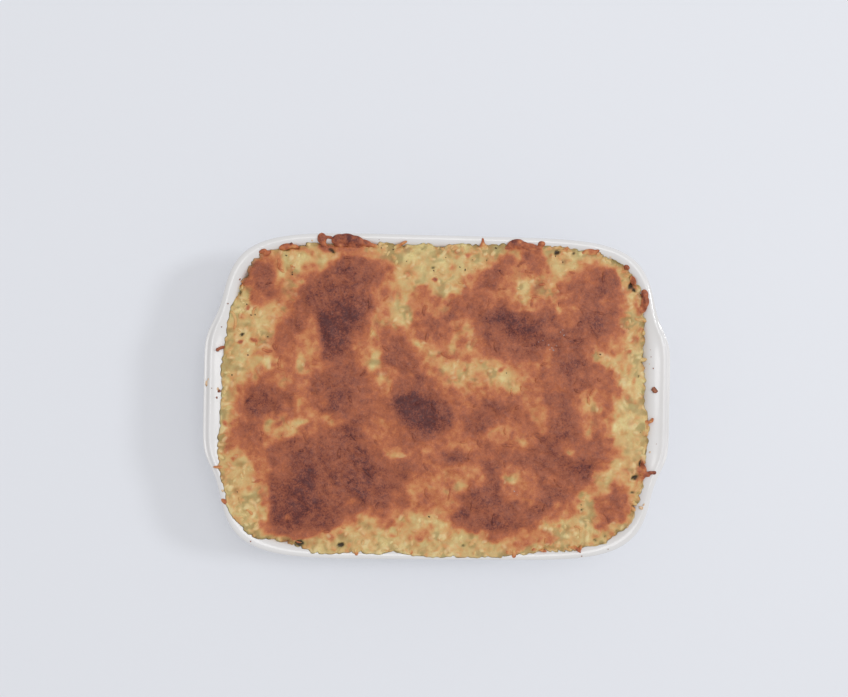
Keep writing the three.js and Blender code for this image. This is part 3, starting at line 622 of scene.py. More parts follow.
# %% Last touches
PATCHES += [
    # a few millimetres wide
    (-126, 17, 6, 2.5, 40, 0.25), (-112, 52, 3.5, 3, 0, 0.35), (-103, 69, 3.5, 5, 0, 0.35),
    (-119, 64, 6, 4, 0, 0.3), (-124, 94, 4, 3, 0, 0.4), (-134, 87, 2, 4, 60, 0.5),
    (-90, 105, 5, 2, 0, 0.1), (-94, 89, 3, 2.5, 0, 0.35), (-77, 96.5, 5, 2.5, 0, 0.3),
    (-43, 80, 3.5, 4, 0, 0.7), (-37, 90, 4, 4, 0, 0.5), (-38, 74, 2.5, 3.5, 0, 0.35),
    (-38.5, 53, 2.5, 8, 0, 0.25), (-51, 46, 2, 5, 0, 0.5), (-50, 28, 2, 4, 0, 0.4),
    (-13, 43, 5, 4, 0, 0.6), (-27, 45, 3, 3, 0, 0.5), (-8, 27, 4, 3, 0, 0.35),
    (2, 12, 3, 3, 0, 0.45), (-27, 8, 4, 5, 0, 0.7), (-38, 7, 3, 4, 0, 0.4),
    (-118, -15, 4, 2.5, 0, 0.45), (-106, -25, 5, 2.5, 0, 0.3), (-92, -24, 4, 3, 0, 0.55),
    (-92, -12, 4, 4, 0, 0.45), (-110, -17.5, 2.5, 1.5, 0, 0.25), (-104, 27, 2, 7, 0, 0.55),
    (-96, 40, 4, 3, 0, 0.5), (-89, 46, 3, 6, 0, 0.5), (-62, 27, 2.5, 4, 0, 0.6),
    (-71, 36, 4, 8, 0, 0.9), (-50, -22, 4, 3.5, 0, 0.6), (-147, -20, 3, 2.5, 0, 0.4),
    (-142, -14, 4, 3, 0, 0.3), (-148.5, -37, 1.8, 5, 0, 0.2), (-148, -57, 1.8, 6, 0, 0.15),
    (-132, -65, 8, 5, 0, 0.1), (-140, -67, 3, 3, 0, 0.15), (-120.5, -80, 2.5, 7, 10, 0.2),
    (-119, -67, 2, 5, 0, 0.4), (-119, -32, 4, 2.5, 0, 0.5), (-123, -44, 3.5, 3.5, 0, 0.55),
    (-56, -89, 4, 3, 0, 0.25), (-44, -80, 6, 3, 0, 0.5), (-68, -93, 3, 2, 0, 0.35),
    (-75, -96, 7, 2.5, 10, 0.25), (-71, -105, 7, 3, 0, 0.15), (-104, -100.5, 2.5, 2, 0, 0.25),
    (-23, -86, 4.5, 3, 0, 0.2), (-27, -93, 5, 3, 0, 0.15), (-2, -47, 4, 4, 0, 0.6),
    (-2, -56, 6, 5, 0, 0.45), (-16, -63, 5, 4, 0, 0.4), (-5, -70, 8, 5, 0, 0.55),
    (-30, -72, 2.5, 4, 0, 0.65), (-33, -36, 5, 2.5, 0, 0.45), (8, -77, 4, 4, 0, 0.4),
    (-5, -98, 2.5, 2, 0, 0.3), (-3, -90, 3, 2, 0, 0.3), (-15, -103, 4, 3, 0, 0.15),
    (9, 100, 5, 4, 0, 0.2), (8, 91, 3, 3, 0, 0.1), (24, 97, 4, 4, 0, 0.15), (18, 75, 4, 3, 0, 0.4),
    (6, 69, 3, 2.5, 0, 0.3), (22, 84, 3, 2.5, 0, 0.45), (34, 64, 4, 3, 0, 0.5),
    (45, 74, 3, 4, 0, 0.5), (50, 65, 4, 2.5, 0, 0.5), (60, 64, 9, 2.5, 0, 0.4),
    (60, 85, 4, 2.5, 0, 0.35), (67, 76, 3, 5, 0, 0.3), (87, 66, 7, 3, 0, 0.55),
    (57, 104, 3, 2, 0, 0.4), (65, 102, 3, 2, 0, 0.45), (88, 105, 5, 2, 0, 0.15),
    (76, 103.5, 3, 3, 0, 0.15), (104, 98, 5, 2.5, 0, 0.2), (101, 83, 5, 3.5, 0, 0.65),
    (124, 93, 3, 2, 0, 0.3), (130, 94, 2.5, 3, 0, 0.3), (130, 79, 2.5, 2.5, 0, 0.3),
    (128, 66, 2.5, 2.5, 0, 0.35), (128, 53, 2.5, 2.5, 0, 0.25), (137, 44, 3, 6, 0, 0.2),
    (123, 48, 4, 4, 0, 0.55), (121, 34, 4, 4, 0, 0.4), (116, 44, 4, 3, 0, 0.6),
    (128, 26, 2.5, 4, 0, 0.3), (133, 22, 2, 4, 0, 0.2), (131, 4, 4, 3, 0, 0.3),
    (141, -3, 2.5, 7, 0, 0.1), (134, -2, 2.5, 1.5, 0, 0.35), (125, -11, 2.5, 3, 0, 0.3),
    (128, -24, 9, 5, 0, 0.1), (118, -17, 3, 6, 0, 0.35), (138.5, -32, 3.5, 7, 0, 0.15),
    (120, -30, 3, 2, 0, 0.5), (118, -45, 2.5, 3.5, 0, 0.45), (128, -39, 5, 2, 0, 0.35),
    (137, -50, 3.5, 3, 0, 0.2), (116, -71, 4, 3, 0, 0.45), (105, -61, 4, 2.5, 0, 0.5),
    (97, -69, 2, 4, 0, 0.45), (137, -63, 2.5, 6, -20, 0.35), (133, -76, 3, 4, -30, 0.45),
    (125, -88, 3, 3, 0, 0.2), (118, -84, 3, 3, 0, 0.6), (99, -88, 4, 3.5, 0, 0.15),
    (98, -97, 4, 3, 0, 0.1), (91, -98, 2.5, 2, 0, 0.15), (80, -97.5, 4, 2, 0, 0.4),
    (66, -98, 3, 4, 0, 0.5), (46, -94, 8, 2.5, 0, 0.6), (57, -102, 7, 3, 0, 0.45),
    (32, -93, 3, 3, 0, 0.45), (56, -66, 4, 4, 0, 0.5), (50, -47, 6, 3, 0, 0.55),
    (48, -70, 3, 4, 0, 0.55), (10, -75, 6, 4, 0, 0.4), (41, -25, 5, 5, 0, 0.4),
    (64, -25, 3, 5, 0, 0.55), (43, -34, 3, 3, 0, 0.55), (71, -20, 3, 4, 0, 0.45),
    (112, 0, 3, 3.5, 0, 0.5), (104, 5, 3, 3, 0, 0.45), (96, -1, 3, 3.5, 0, 0.55),
    (22, 38, 3, 4, 0, 0.3), (12, 51, 3.5, 2.5, 0, 0.35), (4, 45, 5, 5, 0, 0.55),
    (16, 32, 3, 3, 0, 0.4), (16, 22, 3, 2.5, 0, 0.2), (24, 14, 3, 3, 0, 0.25),
    (8, 13, 3, 3, 0, 0.25), (42, 5, 5, 3, 0, 0.5), (33, 6, 4, 2.5, 0, 0.5), (43, 43, 5, 4, 0, 0.75),
    (73, 27, 4, 3, 0, 0.5), (74, 88, 4, 6, 0, 0.35), (138.6, 70, 2, 5, 0, 0.3),
    (-82, 104, 3, 2.5, 0, 0.6), (-76, 102.8, 7, 2.2, 0, 0.5), (-62, 104, 8, 2, -6, 0.48),
    (48, 105.5, 6, 2, 10, 0.46), (66, 104, 4, 2.5, 0, 0.5), (-123, 98, 3.5, 2, 20, 0.55),
    (104, 103, 5, 2, 0, 0.4), (142, -48, 2.2, 4, 0, 0.5), (53, -107, 3, 2, 0, 0.36),
    (136.5, 43, 2.5, 5, 0, 0.15), (135, 5, 3, 3.5, 0, 0.12), (139.5, -2, 3, 6, 0, 0.08),
    (129, -21, 3.5, 3, 0, 0), (136, -28, 4, 4, 0, 0.1), (139.5, -43, 2, 3, 0, 0.2),
    (68, 80, 4, 3, 0, 0.3), (64, 72, 2.5, 4, 0, 0.4), (22, 40, 2.5, 4, 0, 0.3),
    (22, 14, 3, 3, 0, 0.2), (22, -1, 4, 3, 0, 0.55), (7, 91, 3, 3, 0, 0.08),
    (11, 80, 3, 2.5, 0, 0.15), (7, 70, 3, 2.5, 0, 0.42), (8, 102, 5, 2.5, 0, 0.12),
    (75, 103.5, 3, 3.5, 0, 0.1), (107.5, 100, 3, 2.5, 0, 0.15), (84, 97, 3, 2, 0, 0.15),
    (125, 91, 2.5, 3, 0, 0.15), (130, 80, 2.5, 3, 0, 0.2), (128.5, 54, 2.5, 3, 0, 0.2),
    (140, 47, 2, 4, 0, 0.15), (125, -88.5, 2, 3, 30, 0.15), (98, -96, 4, 4, 0, 0.05),
    (90, -80, 4, 3, 0, 0.35), (112, -85, 3, 3, 0, 0.4), (32, -95, 3, 3, 0, 0.3),
    (7, -60, 6, 5, 0, 0.48), (-2, -50, 7, 4, 0, 0.56), (12, -52, 5, 4, 0, 0.5),
    (2, -45, 6, 3, 0, 0.66), (112, 2, 4, 3.5, 0, 0.6), (41, -27, 4, 3, 0, 0.55),
    (119.5, -28, 3, 3, 0, 0.62), (71, 28, 4, 3, 0, 0.62), (88, 66, 7, 2.5, 0, 0.62),
    (52, 65, 4, 2.5, 0, 0.62), (66, 65, 3, 2, 0, 0.6), (135, 83, 1.8, 3, 0, 0.5),
    (130, 93.5, 2, 2, 0, 0.5), (58, -65, 6, 3, 0, 0.62), (44, -94, 6, 2.5, 0, 0.68),
    (80, -98, 5, 2, 0, 0.48), (130, -83, 2.5, 3, -30, 0.6), (121, -82, 3, 3, 0, 0.7),
    (71.5, 91, 2, 4, 0, 0.55), (102, 82, 4, 4, 0, 0.68), (36, 25, 3, 3, 0, 0.35),
    (15.5, 38, 2.5, 5, -30, 0.5), (-132, 86, 3, 7, -20, 0.55), (-103, 67, 4, 3, 0, 0.32),
    (-103, 77, 3, 2.5, 0, 0.3), (-117, 61, 5, 2.5, 0, 0.12), (-114, 51, 3, 3, 0, 0.25),
    (-127, 41, 4, 2, 0, 0.2), (-119, 34, 4, 3.5, 0, 0.25), (-129, 14, 3, 5, 0, 0.3),
    (-138, 11, 2.5, 2.5, 0, 0.12), (-123, 18, 3, 2, 0, 0.3), (-110, 20, 5, 2, 0, 0.4),
    (-86, 26, 2.5, 5, -15, 0.5), (-86, 12, 4, 5, 0, 0.64), (-148.5, 17, 1.5, 5, 0, 0.1),
    (-147, -12, 2, 3, 0, 0.1), (-150, -32, 1.8, 6, 0, 0.2), (-148, -57, 1.8, 5, 0, 0.1),
    (-138, -66, 3, 3, 0, 0.1), (-127, -68, 4, 4, 0, 0.1), (-119, -73, 3, 3, 0, 0.4),
    (-69, -96, 5, 3, 0, 0.2), (-56, -87, 4, 3.5, 0, 0.3), (-22, -87, 5, 5, 0, 0.2),
    (-16, -103, 4, 3, 0, 0.08), (-15, 58, 3.5, 3, 0, 0.55), (-38, 42, 3.5, 5, 0, 0.55),
    (-29, 37, 4, 4, 0, 0.7), (-23, 87, 4, 3, 0, 0.2), (-39, 72, 2.5, 6, 0, 0.45),
    (-39, 58, 2.5, 4, 0, 0.45), (-101, 26, 2.5, 7, 0, 0.6), (-95, 54, 4, 4, 0, 0.72),
    (-72, 38, 4, 9, 0, 0.95), (-91, -25, 4.5, 4, 0, 0.62), (-114, -23, 3, 3, 0, 0.35),
    (-26, 7, 3, 5, 0, 0.78), (-32, 77, 4, 3, 0, 0.35), (-12, 75, 5, 3, 0, 0.5),
    (-43, 84, 3, 4, 0, 0.7), (-46, 37, 3, 4, 0, 0.45), (-92, -10, 4, 4, 0, 0.55),
    (-70, -15, 3, 3, 0, 0.62), (-80, -62, 5, 4, 0, 0.8), (-20, -37, 5, 2, 0, 0.62),
    (-30, -43, 6, 2, 0, 0.6), (-125, 65, 2.5, 4, 0, 0.6), (-61, -85, 3, 3, 0, 0.5),
    (-11, 28, 2, 3, 0, 0.55), (-96, 11, 3, 3, 0, 0.55),
]

# %% [markdown]
# Painting is a loop: each patch pulls the level of the cells below it towards its
# own, fully in its middle and less and less near its edge. Small patches get a
# relatively softer edge, so that they melt into what lies around them.

# %% Painting the patches
BARE_TOP = 0.12  # level before the first patch
LEAST_TOAST = 0.06  # even the palest place has seen the grill


def bent(places, seed):
    """Places shifted by a slow and a quick noise, by up to 3 mm."""
    slow = layered_noise(plan_x, plan_y, 11, seed)
    quick = layered_noise(plan_x, plan_y, 4.5, seed + 10, 2)
    return places + 1.8 * slow + quick


def paint_browning():
    bent_x, bent_y = bent(plan_x, 11), bent(plan_y, 31)
    level = np.full(plan_x.shape, BARE_TOP)
    for number, (x, y, half_length, half_width, turn, brown) in enumerate(PATCHES):
        narrow = min(half_length, half_width)
        edge = 0.3 if number < WASHES else min(0.75, 0.18 + 2.2 / narrow)
        cell = map_window(x, y, 1.8 * max(half_length, half_width) + 4)
        away_x, away_y = bent_x[cell] - x, bent_y[cell] - y
        oval = along_and_across(away_x, away_y, half_length, half_width, math.radians(turn))
        away = np.hypot(*oval)
        level[cell] += (brown - level[cell]) * (1 - soft_step(away, 1 - edge, 1 + edge))
    return level + LEAST_TOAST * (1 - level)


browning_map = paint_browning()
print("browning painted:", len(PATCHES), "patches, mean level", browning_map.mean().round(2))

# %% [markdown]
# ## The form of the top
#
# The CAD pie has the top's true swells and mounds, with coarse bumps for grains.
# Rays read its height on a grid and a blur takes the bumps off, so the form stays
# and finer grains can go on it. Places beyond the crust have no CAD pie under them.
# They take the mean of the places around, spread outward in a few rounds.

# %% Swells read from the CAD pie
PROBE_STEP = 1.5
probe_x, probe_y = np.meshgrid(np.arange(-165, 165.1, PROBE_STEP), np.arange(-115, 115.1, PROBE_STEP))
probed = heights(cad_pie_tree, probe_x, probe_y)
known = (~np.isnan(probed)).astype(float)
probed = np.nan_to_num(probed)


def spread(values, known):
    """Fills unknown cells next to known ones with their mean."""
    total, weight = np.zeros_like(values), np.zeros_like(values)
    for shift in [(0, 1), (0, -1), (1, 0), (-1, 0), (1, 1), (1, -1), (-1, 1), (-1, -1)]:
        total += np.roll(values * known, shift, (0, 1))
        weight += np.roll(known, shift, (0, 1))
    mean = total / np.maximum(weight, 1)
    return np.where(known > 0, values, mean), ((known > 0) | (weight > 0)).astype(float)


SPREAD_ROUNDS = 16
for _ in range(SPREAD_ROUNDS):
    probed, known = spread(probed, known)
column, row = (plan_x - probe_x[0, 0]) / PROBE_STEP, (plan_y - probe_y[0, 0]) / PROBE_STEP
column = np.clip(column, 0, probe_x.shape[1] - 1.001)
row = np.clip(row, 0, probe_x.shape[0] - 1.001)
i, j = column.astype(int), row.astype(int)
base_map = blend(
    blend(probed[j, i], probed[j, i + 1], column - i),
    blend(probed[j + 1, i], probed[j + 1, i + 1], column - i),
    row - j,
)
base_map = blur_map(base_map, 2.4)
print("height of the smoothed top, mm:", base_map[280, 200:620:70].round(1))

# %% [markdown]
# ## The edge of the crust
#
# Seen from above the pie is a ragged rounded rectangle that shrank from the
# corners and swelled up to the lip at one end. Listed insets give its edge,
# close to those of the CAD part, and noise along the way round makes it grainy.

# %% Edge of the crust
# direction in degrees, inset from the dish's outline
CRUST_EDGE = [
    (0, 5), (14, 6), (36, 6.8), (50, 5.6), (62, 5.6), (90, 7), (108, 6.8), (122, 7.4),
    (140, 7), (152, 8.2), (162, 4), (170, 0.9), (198, -0.4), (206, 3), (214, 5.2), (223, 8),
    (234, 4.4), (252, 4.4), (268, 2.7), (288, 2.9), (308, 6.2), (330, 7.3), (344, 5), (353, 2.4),
]


def crust_edge(angle):
    directions, insets = np.array(CRUST_EDGE + [(360 + CRUST_EDGE[0][0], CRUST_EDGE[0][1])]).T
    degrees = np.degrees(angle) % 360
    stretch = np.searchsorted(directions, degrees, side="right") - 1
    part = soft_step(degrees, directions[stretch], directions[stretch + 1])
    return blend(insets[stretch], insets[stretch + 1], part)


def inside_crust(x, y):
    """How far in from the crust's smooth edge a point lies, in millimetres."""
    direction = np.arctan2(y, x)
    return body_radius(direction, crust_edge(direction)) - np.hypot(x, y)


def ragged(angle):
    """How far the edge wanders in: bulges of grain size with sharp notches between."""
    x, y = body_point(angle, 0)
    bulges = np.abs(noise(x, y, 4.9, 82))
    return 0.9 * noise(x, y, 11, 81) + 0.5 * noise(x, y, 2.4, 83) - 2.2 * (np.minimum(bulges, 0.5) - 0.28)


border_map = np.exp(-np.clip(inside_crust(plan_x, plan_y), 0, None) / 8)
print("edge insets, mm:", crust_edge(np.radians([0, 90, 180, 270])).round(1))

# %% [markdown]
# ## Grains, strands and blisters
#
# Under the cheese lie thousands of plump rice grains, bound by custard. Each is
# pressed into the map as an oval cushion that shows where it stands highest, and
# the custard fills the low places between. Grated cheese is pressed in as a string
# of small cushions along a curved path, and where it has fused to a skin it blurs
# the grains below and carries low blisters.


# %% Pressing ovals into a map
def press_oval(target, x, y, half_length, half_width, turn, height, tones=None, tone=0.0):
    cell = map_window(x, y, max(half_length, half_width))
    away_x, away_y = plan_x[cell] - x, plan_y[cell] - y
    lengthways, crossways = along_and_across(away_x, away_y, half_length, half_width, turn)
    away = lengthways**2 + crossways**2
    cushion = height * np.sqrt(np.clip(1 - away, 0, None))
    higher = cushion > target[cell]
    target[cell] = np.where(higher, cushion, target[cell])
    if tones is not None:
        tones[cell] = np.where(higher, tone, tones[cell])


RICE_GRAINS = 4600
CUSTARD_LEVEL = 0.42
draw = np.random.default_rng(5)
grain_map, grain_tone = np.full_like(plan_x, CUSTARD_LEVEL), np.zeros_like(plan_x)
for _ in range(RICE_GRAINS):
    x, y = draw.uniform(-156, 156), draw.uniform(-113, 113)
    half_length, half_width = draw.uniform(2.1, 3.3), draw.uniform(1.2, 1.75)
    turn, height, tone = draw.uniform(0, math.pi), draw.uniform(0.5, 1.4), draw.uniform(-1, 1)
    press_oval(grain_map, x, y, half_length, half_width, turn, height, grain_tone, tone)

CHEESE_STRANDS = 2200
strand_map = np.zeros_like(plan_x)
for _ in range(CHEESE_STRANDS):
    x, y = draw.uniform(-150, 150), draw.uniform(-108, 108)
    heading, bend = draw.uniform(0, 2 * math.pi), draw.normal(0, 0.16)
    thick, rise = draw.uniform(0.6, 1.05), draw.uniform(0.45, 1)
    for _ in range(draw.integers(8, 20)):
        press_oval(strand_map, x, y, thick * draw.uniform(0.8, 1.15), thick, heading, rise)
        x, y = x + 0.8 * math.cos(heading), y + 0.8 * math.sin(heading)
        heading += bend + draw.normal(0, 0.1)

BLISTERS = 420
blister_map = np.zeros_like(plan_x)
for _ in range(BLISTERS):
    size = draw.uniform(1, 3)
    x, y = draw.uniform(-150, 150), draw.uniform(-108, 108)
    press_oval(blister_map, x, y, size, size * draw.uniform(0.6, 1), 0, 1)
print("grains stand above the custard on", round(100 * (grain_map > CUSTARD_LEVEL).mean()), "% of the map")

# %% [markdown]
# The three maps are mixed by how brown the place is: bare grains at the border,
# fused cheese in the middle. A few holes are listed one by one; each is pressed in
# and painted dark, as painted shade inside it.

# %% Dark holes
HOLE_DEPTH = 1.5
HOLE_SPREAD = 1.45  # the soft rim of a hole is wider than the hole that is seen
# middle x and y, half length, half width, turn in degrees, how dark
HOLES = [
    (-137, 41, 1.3, 1.1, 0, 1), (-66, -102.5, 2.3, 1.6, 30, 1), (-95, -101.5, 3, 2, 0, 1),
    (133, 81, 2.1, 1.4, 60, 1), (135.2, 77.6, 1.9, 1.2, -50, 1), (142, -44, 2.1, 1.3, 80, 1),
    (138, -53.6, 2.6, 1.5, 20, 0.95), (137, -64, 1.2, 1, 0, 0.75), (-104.5, 103.6, 1, 1.4, 0, 1),
    (-76.5, 100, 2.4, 0.9, -40, 0.9), (-6, 90, 1.1, 0.9, 0, 0.7), (-14, 103, 1.4, 1, 0, 0.6),
    (80, 102.6, 2.2, 1.6, 40, 1), (92, 102.5, 1, 0.8, 0, 0.9), (18, -102.5, 1.2, 0.9, 0, 0.7),
    (-140, 60, 1, 0.8, 0, 0.6), (-139, 70, 0.9, 2, 0, 0.8), (-143, 24, 1.2, 0.8, 30, 0.5),
    (-142, 10, 1, 0.8, 0, 0.5), (-107, 87, 1.6, 1.2, 0, 0.5), (101, -77, 0.9, 0.8, 0, 0.7),
    (104, -88, 1.2, 1.8, 0, 0.55), (92, -102, 1.8, 1, 0, 0.6), (76, -103, 1.4, 0.9, 0, 0.55),
    (111, -98, 1.4, 1, 0, 0.7), (118, -95, 1.2, 0.9, 0, 0.65), (120, -25, 1, 0.8, 0, 0.45),
    (-132, -95, 1.6, 1, -40, 0.6), (-120, -99, 1.8, 1.1, -20, 0.6),
    (-110, -102, 1.4, 0.9, 0, 0.6), (142, -20, 0.8, 0.7, 0, 0.5), (143, -32, 1, 0.7, 60, 0.5),
    (140, 17, 0.9, 0.8, 0, 0.9), (127, 84, 1, 0.9, 0, 0.6), (129, 92, 1, 0.8, 0, 0.7),
    (121, 97, 1.4, 0.8, -30, 0.6), (-128, 58, 1, 0.8, 0, 0.5), (-43, -107, 1.2, 0.8, 0, 0.5),
    (-28, -104, 1, 0.8, 0, 0.55), (141, 32, 0.8, 1.4, 0, 0.5), (-60, 104, 1.4, 0.8, 0, 0.4),
    (-42, 103, 1.2, 0.8, 20, 0.7), (-34, 103, 1, 0.8, 0, 0.6), (31, 97, 1.2, 0.8, 0, 0.45),
    (18, 90, 1, 0.8, 40, 0.5), (-5, 83, 1, 1.2, 0, 0.45), (-90, 104, 2, 0.8, 0, 0.5),
    (84, 97, 1, 0.8, 0, 0.5),
]
print("dark holes:", len(HOLES))

# %% Relief of the top
cheese_cover = soft_step(browning_map, 0.26, 0.62)
bare = (1.3 + 0.6 * border_map) * (blur_map(grain_map, 0.36) - 0.8)
wrinkle = layered_noise(plan_x, plan_y, 5, 71, 3)
skin = (
    0.75 * (blur_map(grain_map, 1.1) - 0.7)
    + 0.55 * (strand_map - 0.3)
    + 0.2 * blister_map
    + 0.3 * wrinkle
)
melted = 0.55 * np.maximum(strand_map - 0.45, 0)
relief_map = blend(bare + melted, skin, cheese_cover)
hole_map = np.zeros_like(plan_x)
for x, y, half_length, half_width, turn, dark in HOLES:
    half_length, half_width = HOLE_SPREAD * half_length, HOLE_SPREAD * half_width
    press_oval(hole_map, x, y, half_length, half_width, math.radians(turn), dark)
jagged_x = plan_x + 0.6 * noise(plan_x, plan_y, 1.9, 74)
jagged_y = plan_y + 0.6 * noise(plan_x, plan_y, 1.9, 75)
hole_map = read_map(hole_map, jagged_x, jagged_y)
relief_map -= HOLE_DEPTH * hole_map**2
print("relief with its holes, from", relief_map.min().round(2), "to", relief_map.max().round(2), "mm")

# %% Bubbles of custard that set as shallow rings
BUBBLE_DEPTH = 0.3
# middle x and y, radius
BUBBLES = [
    (3, 77, 2.9), (18, 17, 2.2), (34.5, 20.5, 2.4), (49, 9.5, 3.6), (-29, 62, 2.2),
    (-96, 23, 2.6), (-42, 22, 2), (129, 15, 2.6), (134, -14, 2), (52, -54, 2.2), (-118, -22, 2),
    (62, 74, 2.6), (8, 32, 1.8), (-50, -100, 2.2), (22, 96, 2), (-96, 96, 2.2), (84, 88, 2),
    (118, -56, 2.4), (-60, -98, 2), (-140, 28, 2.2),
]
bubble_map = np.zeros_like(plan_x)
for x, y, radius in BUBBLES:
    cell = map_window(x, y, radius + 2)
    ring = np.exp(-(((np.hypot(plan_x[cell] - x, plan_y[cell] - y) - radius) / 0.55) ** 2))
    broken = 0.6 + 0.4 * noise(plan_x[cell], plan_y[cell], 2.5, 73)
    bubble_map[cell] = np.maximum(bubble_map[cell], ring * broken)
relief_map -= BUBBLE_DEPTH * bubble_map
TOP_LIMIT = cad_high.z / MM - 0.06  # just below the CAD part's highest point
top_map = np.minimum(base_map + relief_map, TOP_LIMIT)
print("relief from", relief_map.min().round(2), "to", relief_map.max().round(2), "mm")

# %% [markdown]
# ## The toasted top and the body below
#
# The pie is one closed mesh. Its top is a grid of small squares, stretched from a
# rectangle to the crust's outline, about 0.9 mm apart, so that each grain is real
# geometry. The rim of the grid rolls down to the glaze, and rings of points follow
# the dish's wall from there to the floor, a hair's breadth inside the glaze.

# %% Grid of the top
CELLS_ALONG, CELLS_ACROSS = 336, 246
ROLL = 2.8  # how far in the edge rounds over
CONTACT = 0.22  # between food and glaze

across, along = np.meshgrid(np.linspace(-1, 1, CELLS_ALONG + 1), np.linspace(-1, 1, CELLS_ACROSS + 1))
from_middle = np.maximum(np.abs(across), np.abs(along))
angle = np.arctan2(along * HALF_WIDTH, across * HALF_LENGTH)
edge_inset = crust_edge(angle) + ragged(angle) * soft_step(from_middle, 0.94, 1)
radius = from_middle * body_radius(angle, edge_inset)
top_x, top_y = radius * np.cos(angle), radius * np.sin(angle)
facing = np.maximum(np.abs(np.cos(angle)), np.abs(np.sin(angle)))
from_edge = (1 - from_middle) * body_radius(angle, edge_inset) * facing
top_z = read_map(top_map, top_x, top_y)
near = from_edge < 4
floor_z = np.where(near, 0, -1.0)
floor_z[near] = heights(glaze_tree, top_x[near], top_y[near]) + CONTACT
rolled = np.sin(np.pi / 2 * np.clip(from_edge / ROLL, 0, 1)) ** 0.9
lifted = np.maximum(top_z, floor_z + 0.25)
top_z = np.where(near, floor_z + (lifted - floor_z) * rolled, top_z)
top_z = np.minimum(top_z, TOP_LIMIT)
print("grid of the top:", top_x.shape, "highest", top_z.max().round(2), "mm")

# %% Sides and underside of the pie
BODY_RINGS = 9


def rim_order():
    """The grid's outer points, anticlockwise."""
    index = np.arange(top_x.size).reshape(top_x.shape)
    return np.concatenate([index[0, :-1], index[:-1, -1], index[-1, :0:-1], index[:0:-1, 0]])


def clear_of_glaze(line):
    """The dish's inner line from the lip edge on, moved off by the contact gap."""
    direction = np.gradient(line, axis=0)
    direction /= np.hypot(*direction.T)[:, None]
    moved = line + CONTACT * np.stack([-direction[:, 1], direction[:, 0]], 1)
    return moved[CREST_STEP - STEPS_PER_RING :]


def body_rings(rim):
    """Rings from the crust's edge down the wall to the floor."""
    side, handle = clear_of_glaze(side_line), clear_of_glaze(handle_line)
    steps = np.arange(len(side))
    rings = [[] for _ in range(BODY_RINGS)]
    for point in rim:
        direction = math.atan2(top_y.flat[point], top_x.flat[point])
        share = float(handle_share(np.array(direction)))
        line = blend(side, handle, share)
        start = np.interp(edge_inset.flat[point], line[:, 0], steps)
        for ring in range(BODY_RINGS):
            step = start + (steps[-1] - start) * ((ring + 1) / BODY_RINGS) ** 1.6
            here = [[np.interp(step, steps, way[:, k]) for k in (0, 1)] for way in (side, handle)]
            rings[ring].append(on_the_dish(np.array(direction), *here))
    return rings


rim = rim_order()
rings = body_rings(rim)
top_points = np.stack([top_x, top_y, top_z], -1).reshape(-1, 3)
underside = np.array([[0, 0, rings[-1][0][2]]])
points = np.concatenate([top_points, *rings, underside])
i, j = np.meshgrid(np.arange(CELLS_ALONG), np.arange(CELLS_ACROSS))
corner = (j * (CELLS_ALONG + 1) + i).ravel()
faces = np.stack([corner, corner + 1, corner + CELLS_ALONG + 2, corner + CELLS_ALONG + 1], 1).tolist()
first = len(top_points)
after = np.roll(np.arange(len(rim)), -1)
faces += [(rim[k], first + k, first + after[k], rim[after[k]]) for k in range(len(rim))]
faces += [tuple(first + v for v in face[::-1]) for face in ring_faces(BODY_RINGS, len(rim))]
faces += fan(first + (BODY_RINGS - 1) * len(rim), len(rim), len(points) - 1, True)
crust = add_mesh("baked_pie", points, faces)
print("baked_pie:", count_triangles(crust), "triangles")

# %% Colour values of the top
FRECKLES = 520
draw = np.random.default_rng(41)
freckle_map = np.zeros_like(plan_x)
for _ in range(FRECKLES):
    size = draw.uniform(1.1, 3.4)
    x, y = draw.uniform(-148, 148), draw.uniform(-108, 108)
    width, turn = size * draw.uniform(0.5, 1), draw.uniform(0, math.pi)
    press_oval(freckle_map, x, y, size, width, turn, draw.uniform(0.3, 1))
freckle_map = blur_map(freckle_map, 0.6)
paleness = 1 - soft_step(browning_map, 0.2, 0.5)
half_toasted = 4 * np.clip(browning_map, 0, 1) * np.clip(1 - browning_map, 0, 1)
top_browning = (
    browning_map
    + 0.3 * paleness * freckle_map * soft_step(layered_noise(plan_x, plan_y, 16, 43, 2), -0.35, 0.1)
    + (0.05 + 0.08 * half_toasted) * np.clip(relief_map, -0.8, 0.8)
    + (0.08 + 0.06 * half_toasted) * layered_noise(plan_x, plan_y, 8, 51)
    + (0.06 + 0.08 * half_toasted) * layered_noise(plan_x, plan_y, 3.4, 61, 2)
)
# painted shade: low places between bare grains, crevices near the border, bubble rings and holes are
# darkened where the relief's shade falls
here_and_there = soft_step(noise(plan_x, plan_y, 6, 44), 0.1, 0.6)
low_place_shade = (1 - cheese_cover) * soft_step(-relief_map, 0.1, 0.45) * here_and_there
in_a_few_spots = soft_step(noise(plan_x, plan_y, 4, 46), 0, 0.5)
crevice_shade = paleness * border_map * soft_step(-relief_map, 0.2, 0.65) * in_a_few_spots
# painted shade inside the holes, darkest where they are deepest
painted_hole_shade = soft_step(hole_map, 0.25, 0.75)
painted_shade_map = np.maximum.reduce([0.5 * low_place_shade, 0.7 * crevice_shade, 0.3 * bubble_map, painted_hole_shade])
# cream tone: random tone of rice and custard, plus painted light and shade, grain tops lighter and hollows
# darker
cream_tone_and_shading = 0.7 * layered_noise(plan_x, plan_y, 6, 45, 2) + 0.5 * blur_map(grain_tone, 0.3) + 0.5 * bare
cream_tone_and_shading = np.clip((1.5 + border_map) * cream_tone_and_shading, -1, 1) * paleness


def spread_over_pie(values, more_at_rim=0.0):
    """A map's values at every point of the pie, the body's taken from its rim."""
    at_top = (read_map(values, top_x, top_y) + more_at_rim * np.exp(-from_edge / 0.9)).ravel()
    return np.concatenate([at_top, np.tile(at_top[rim], BODY_RINGS), [at_top[rim].mean()]])


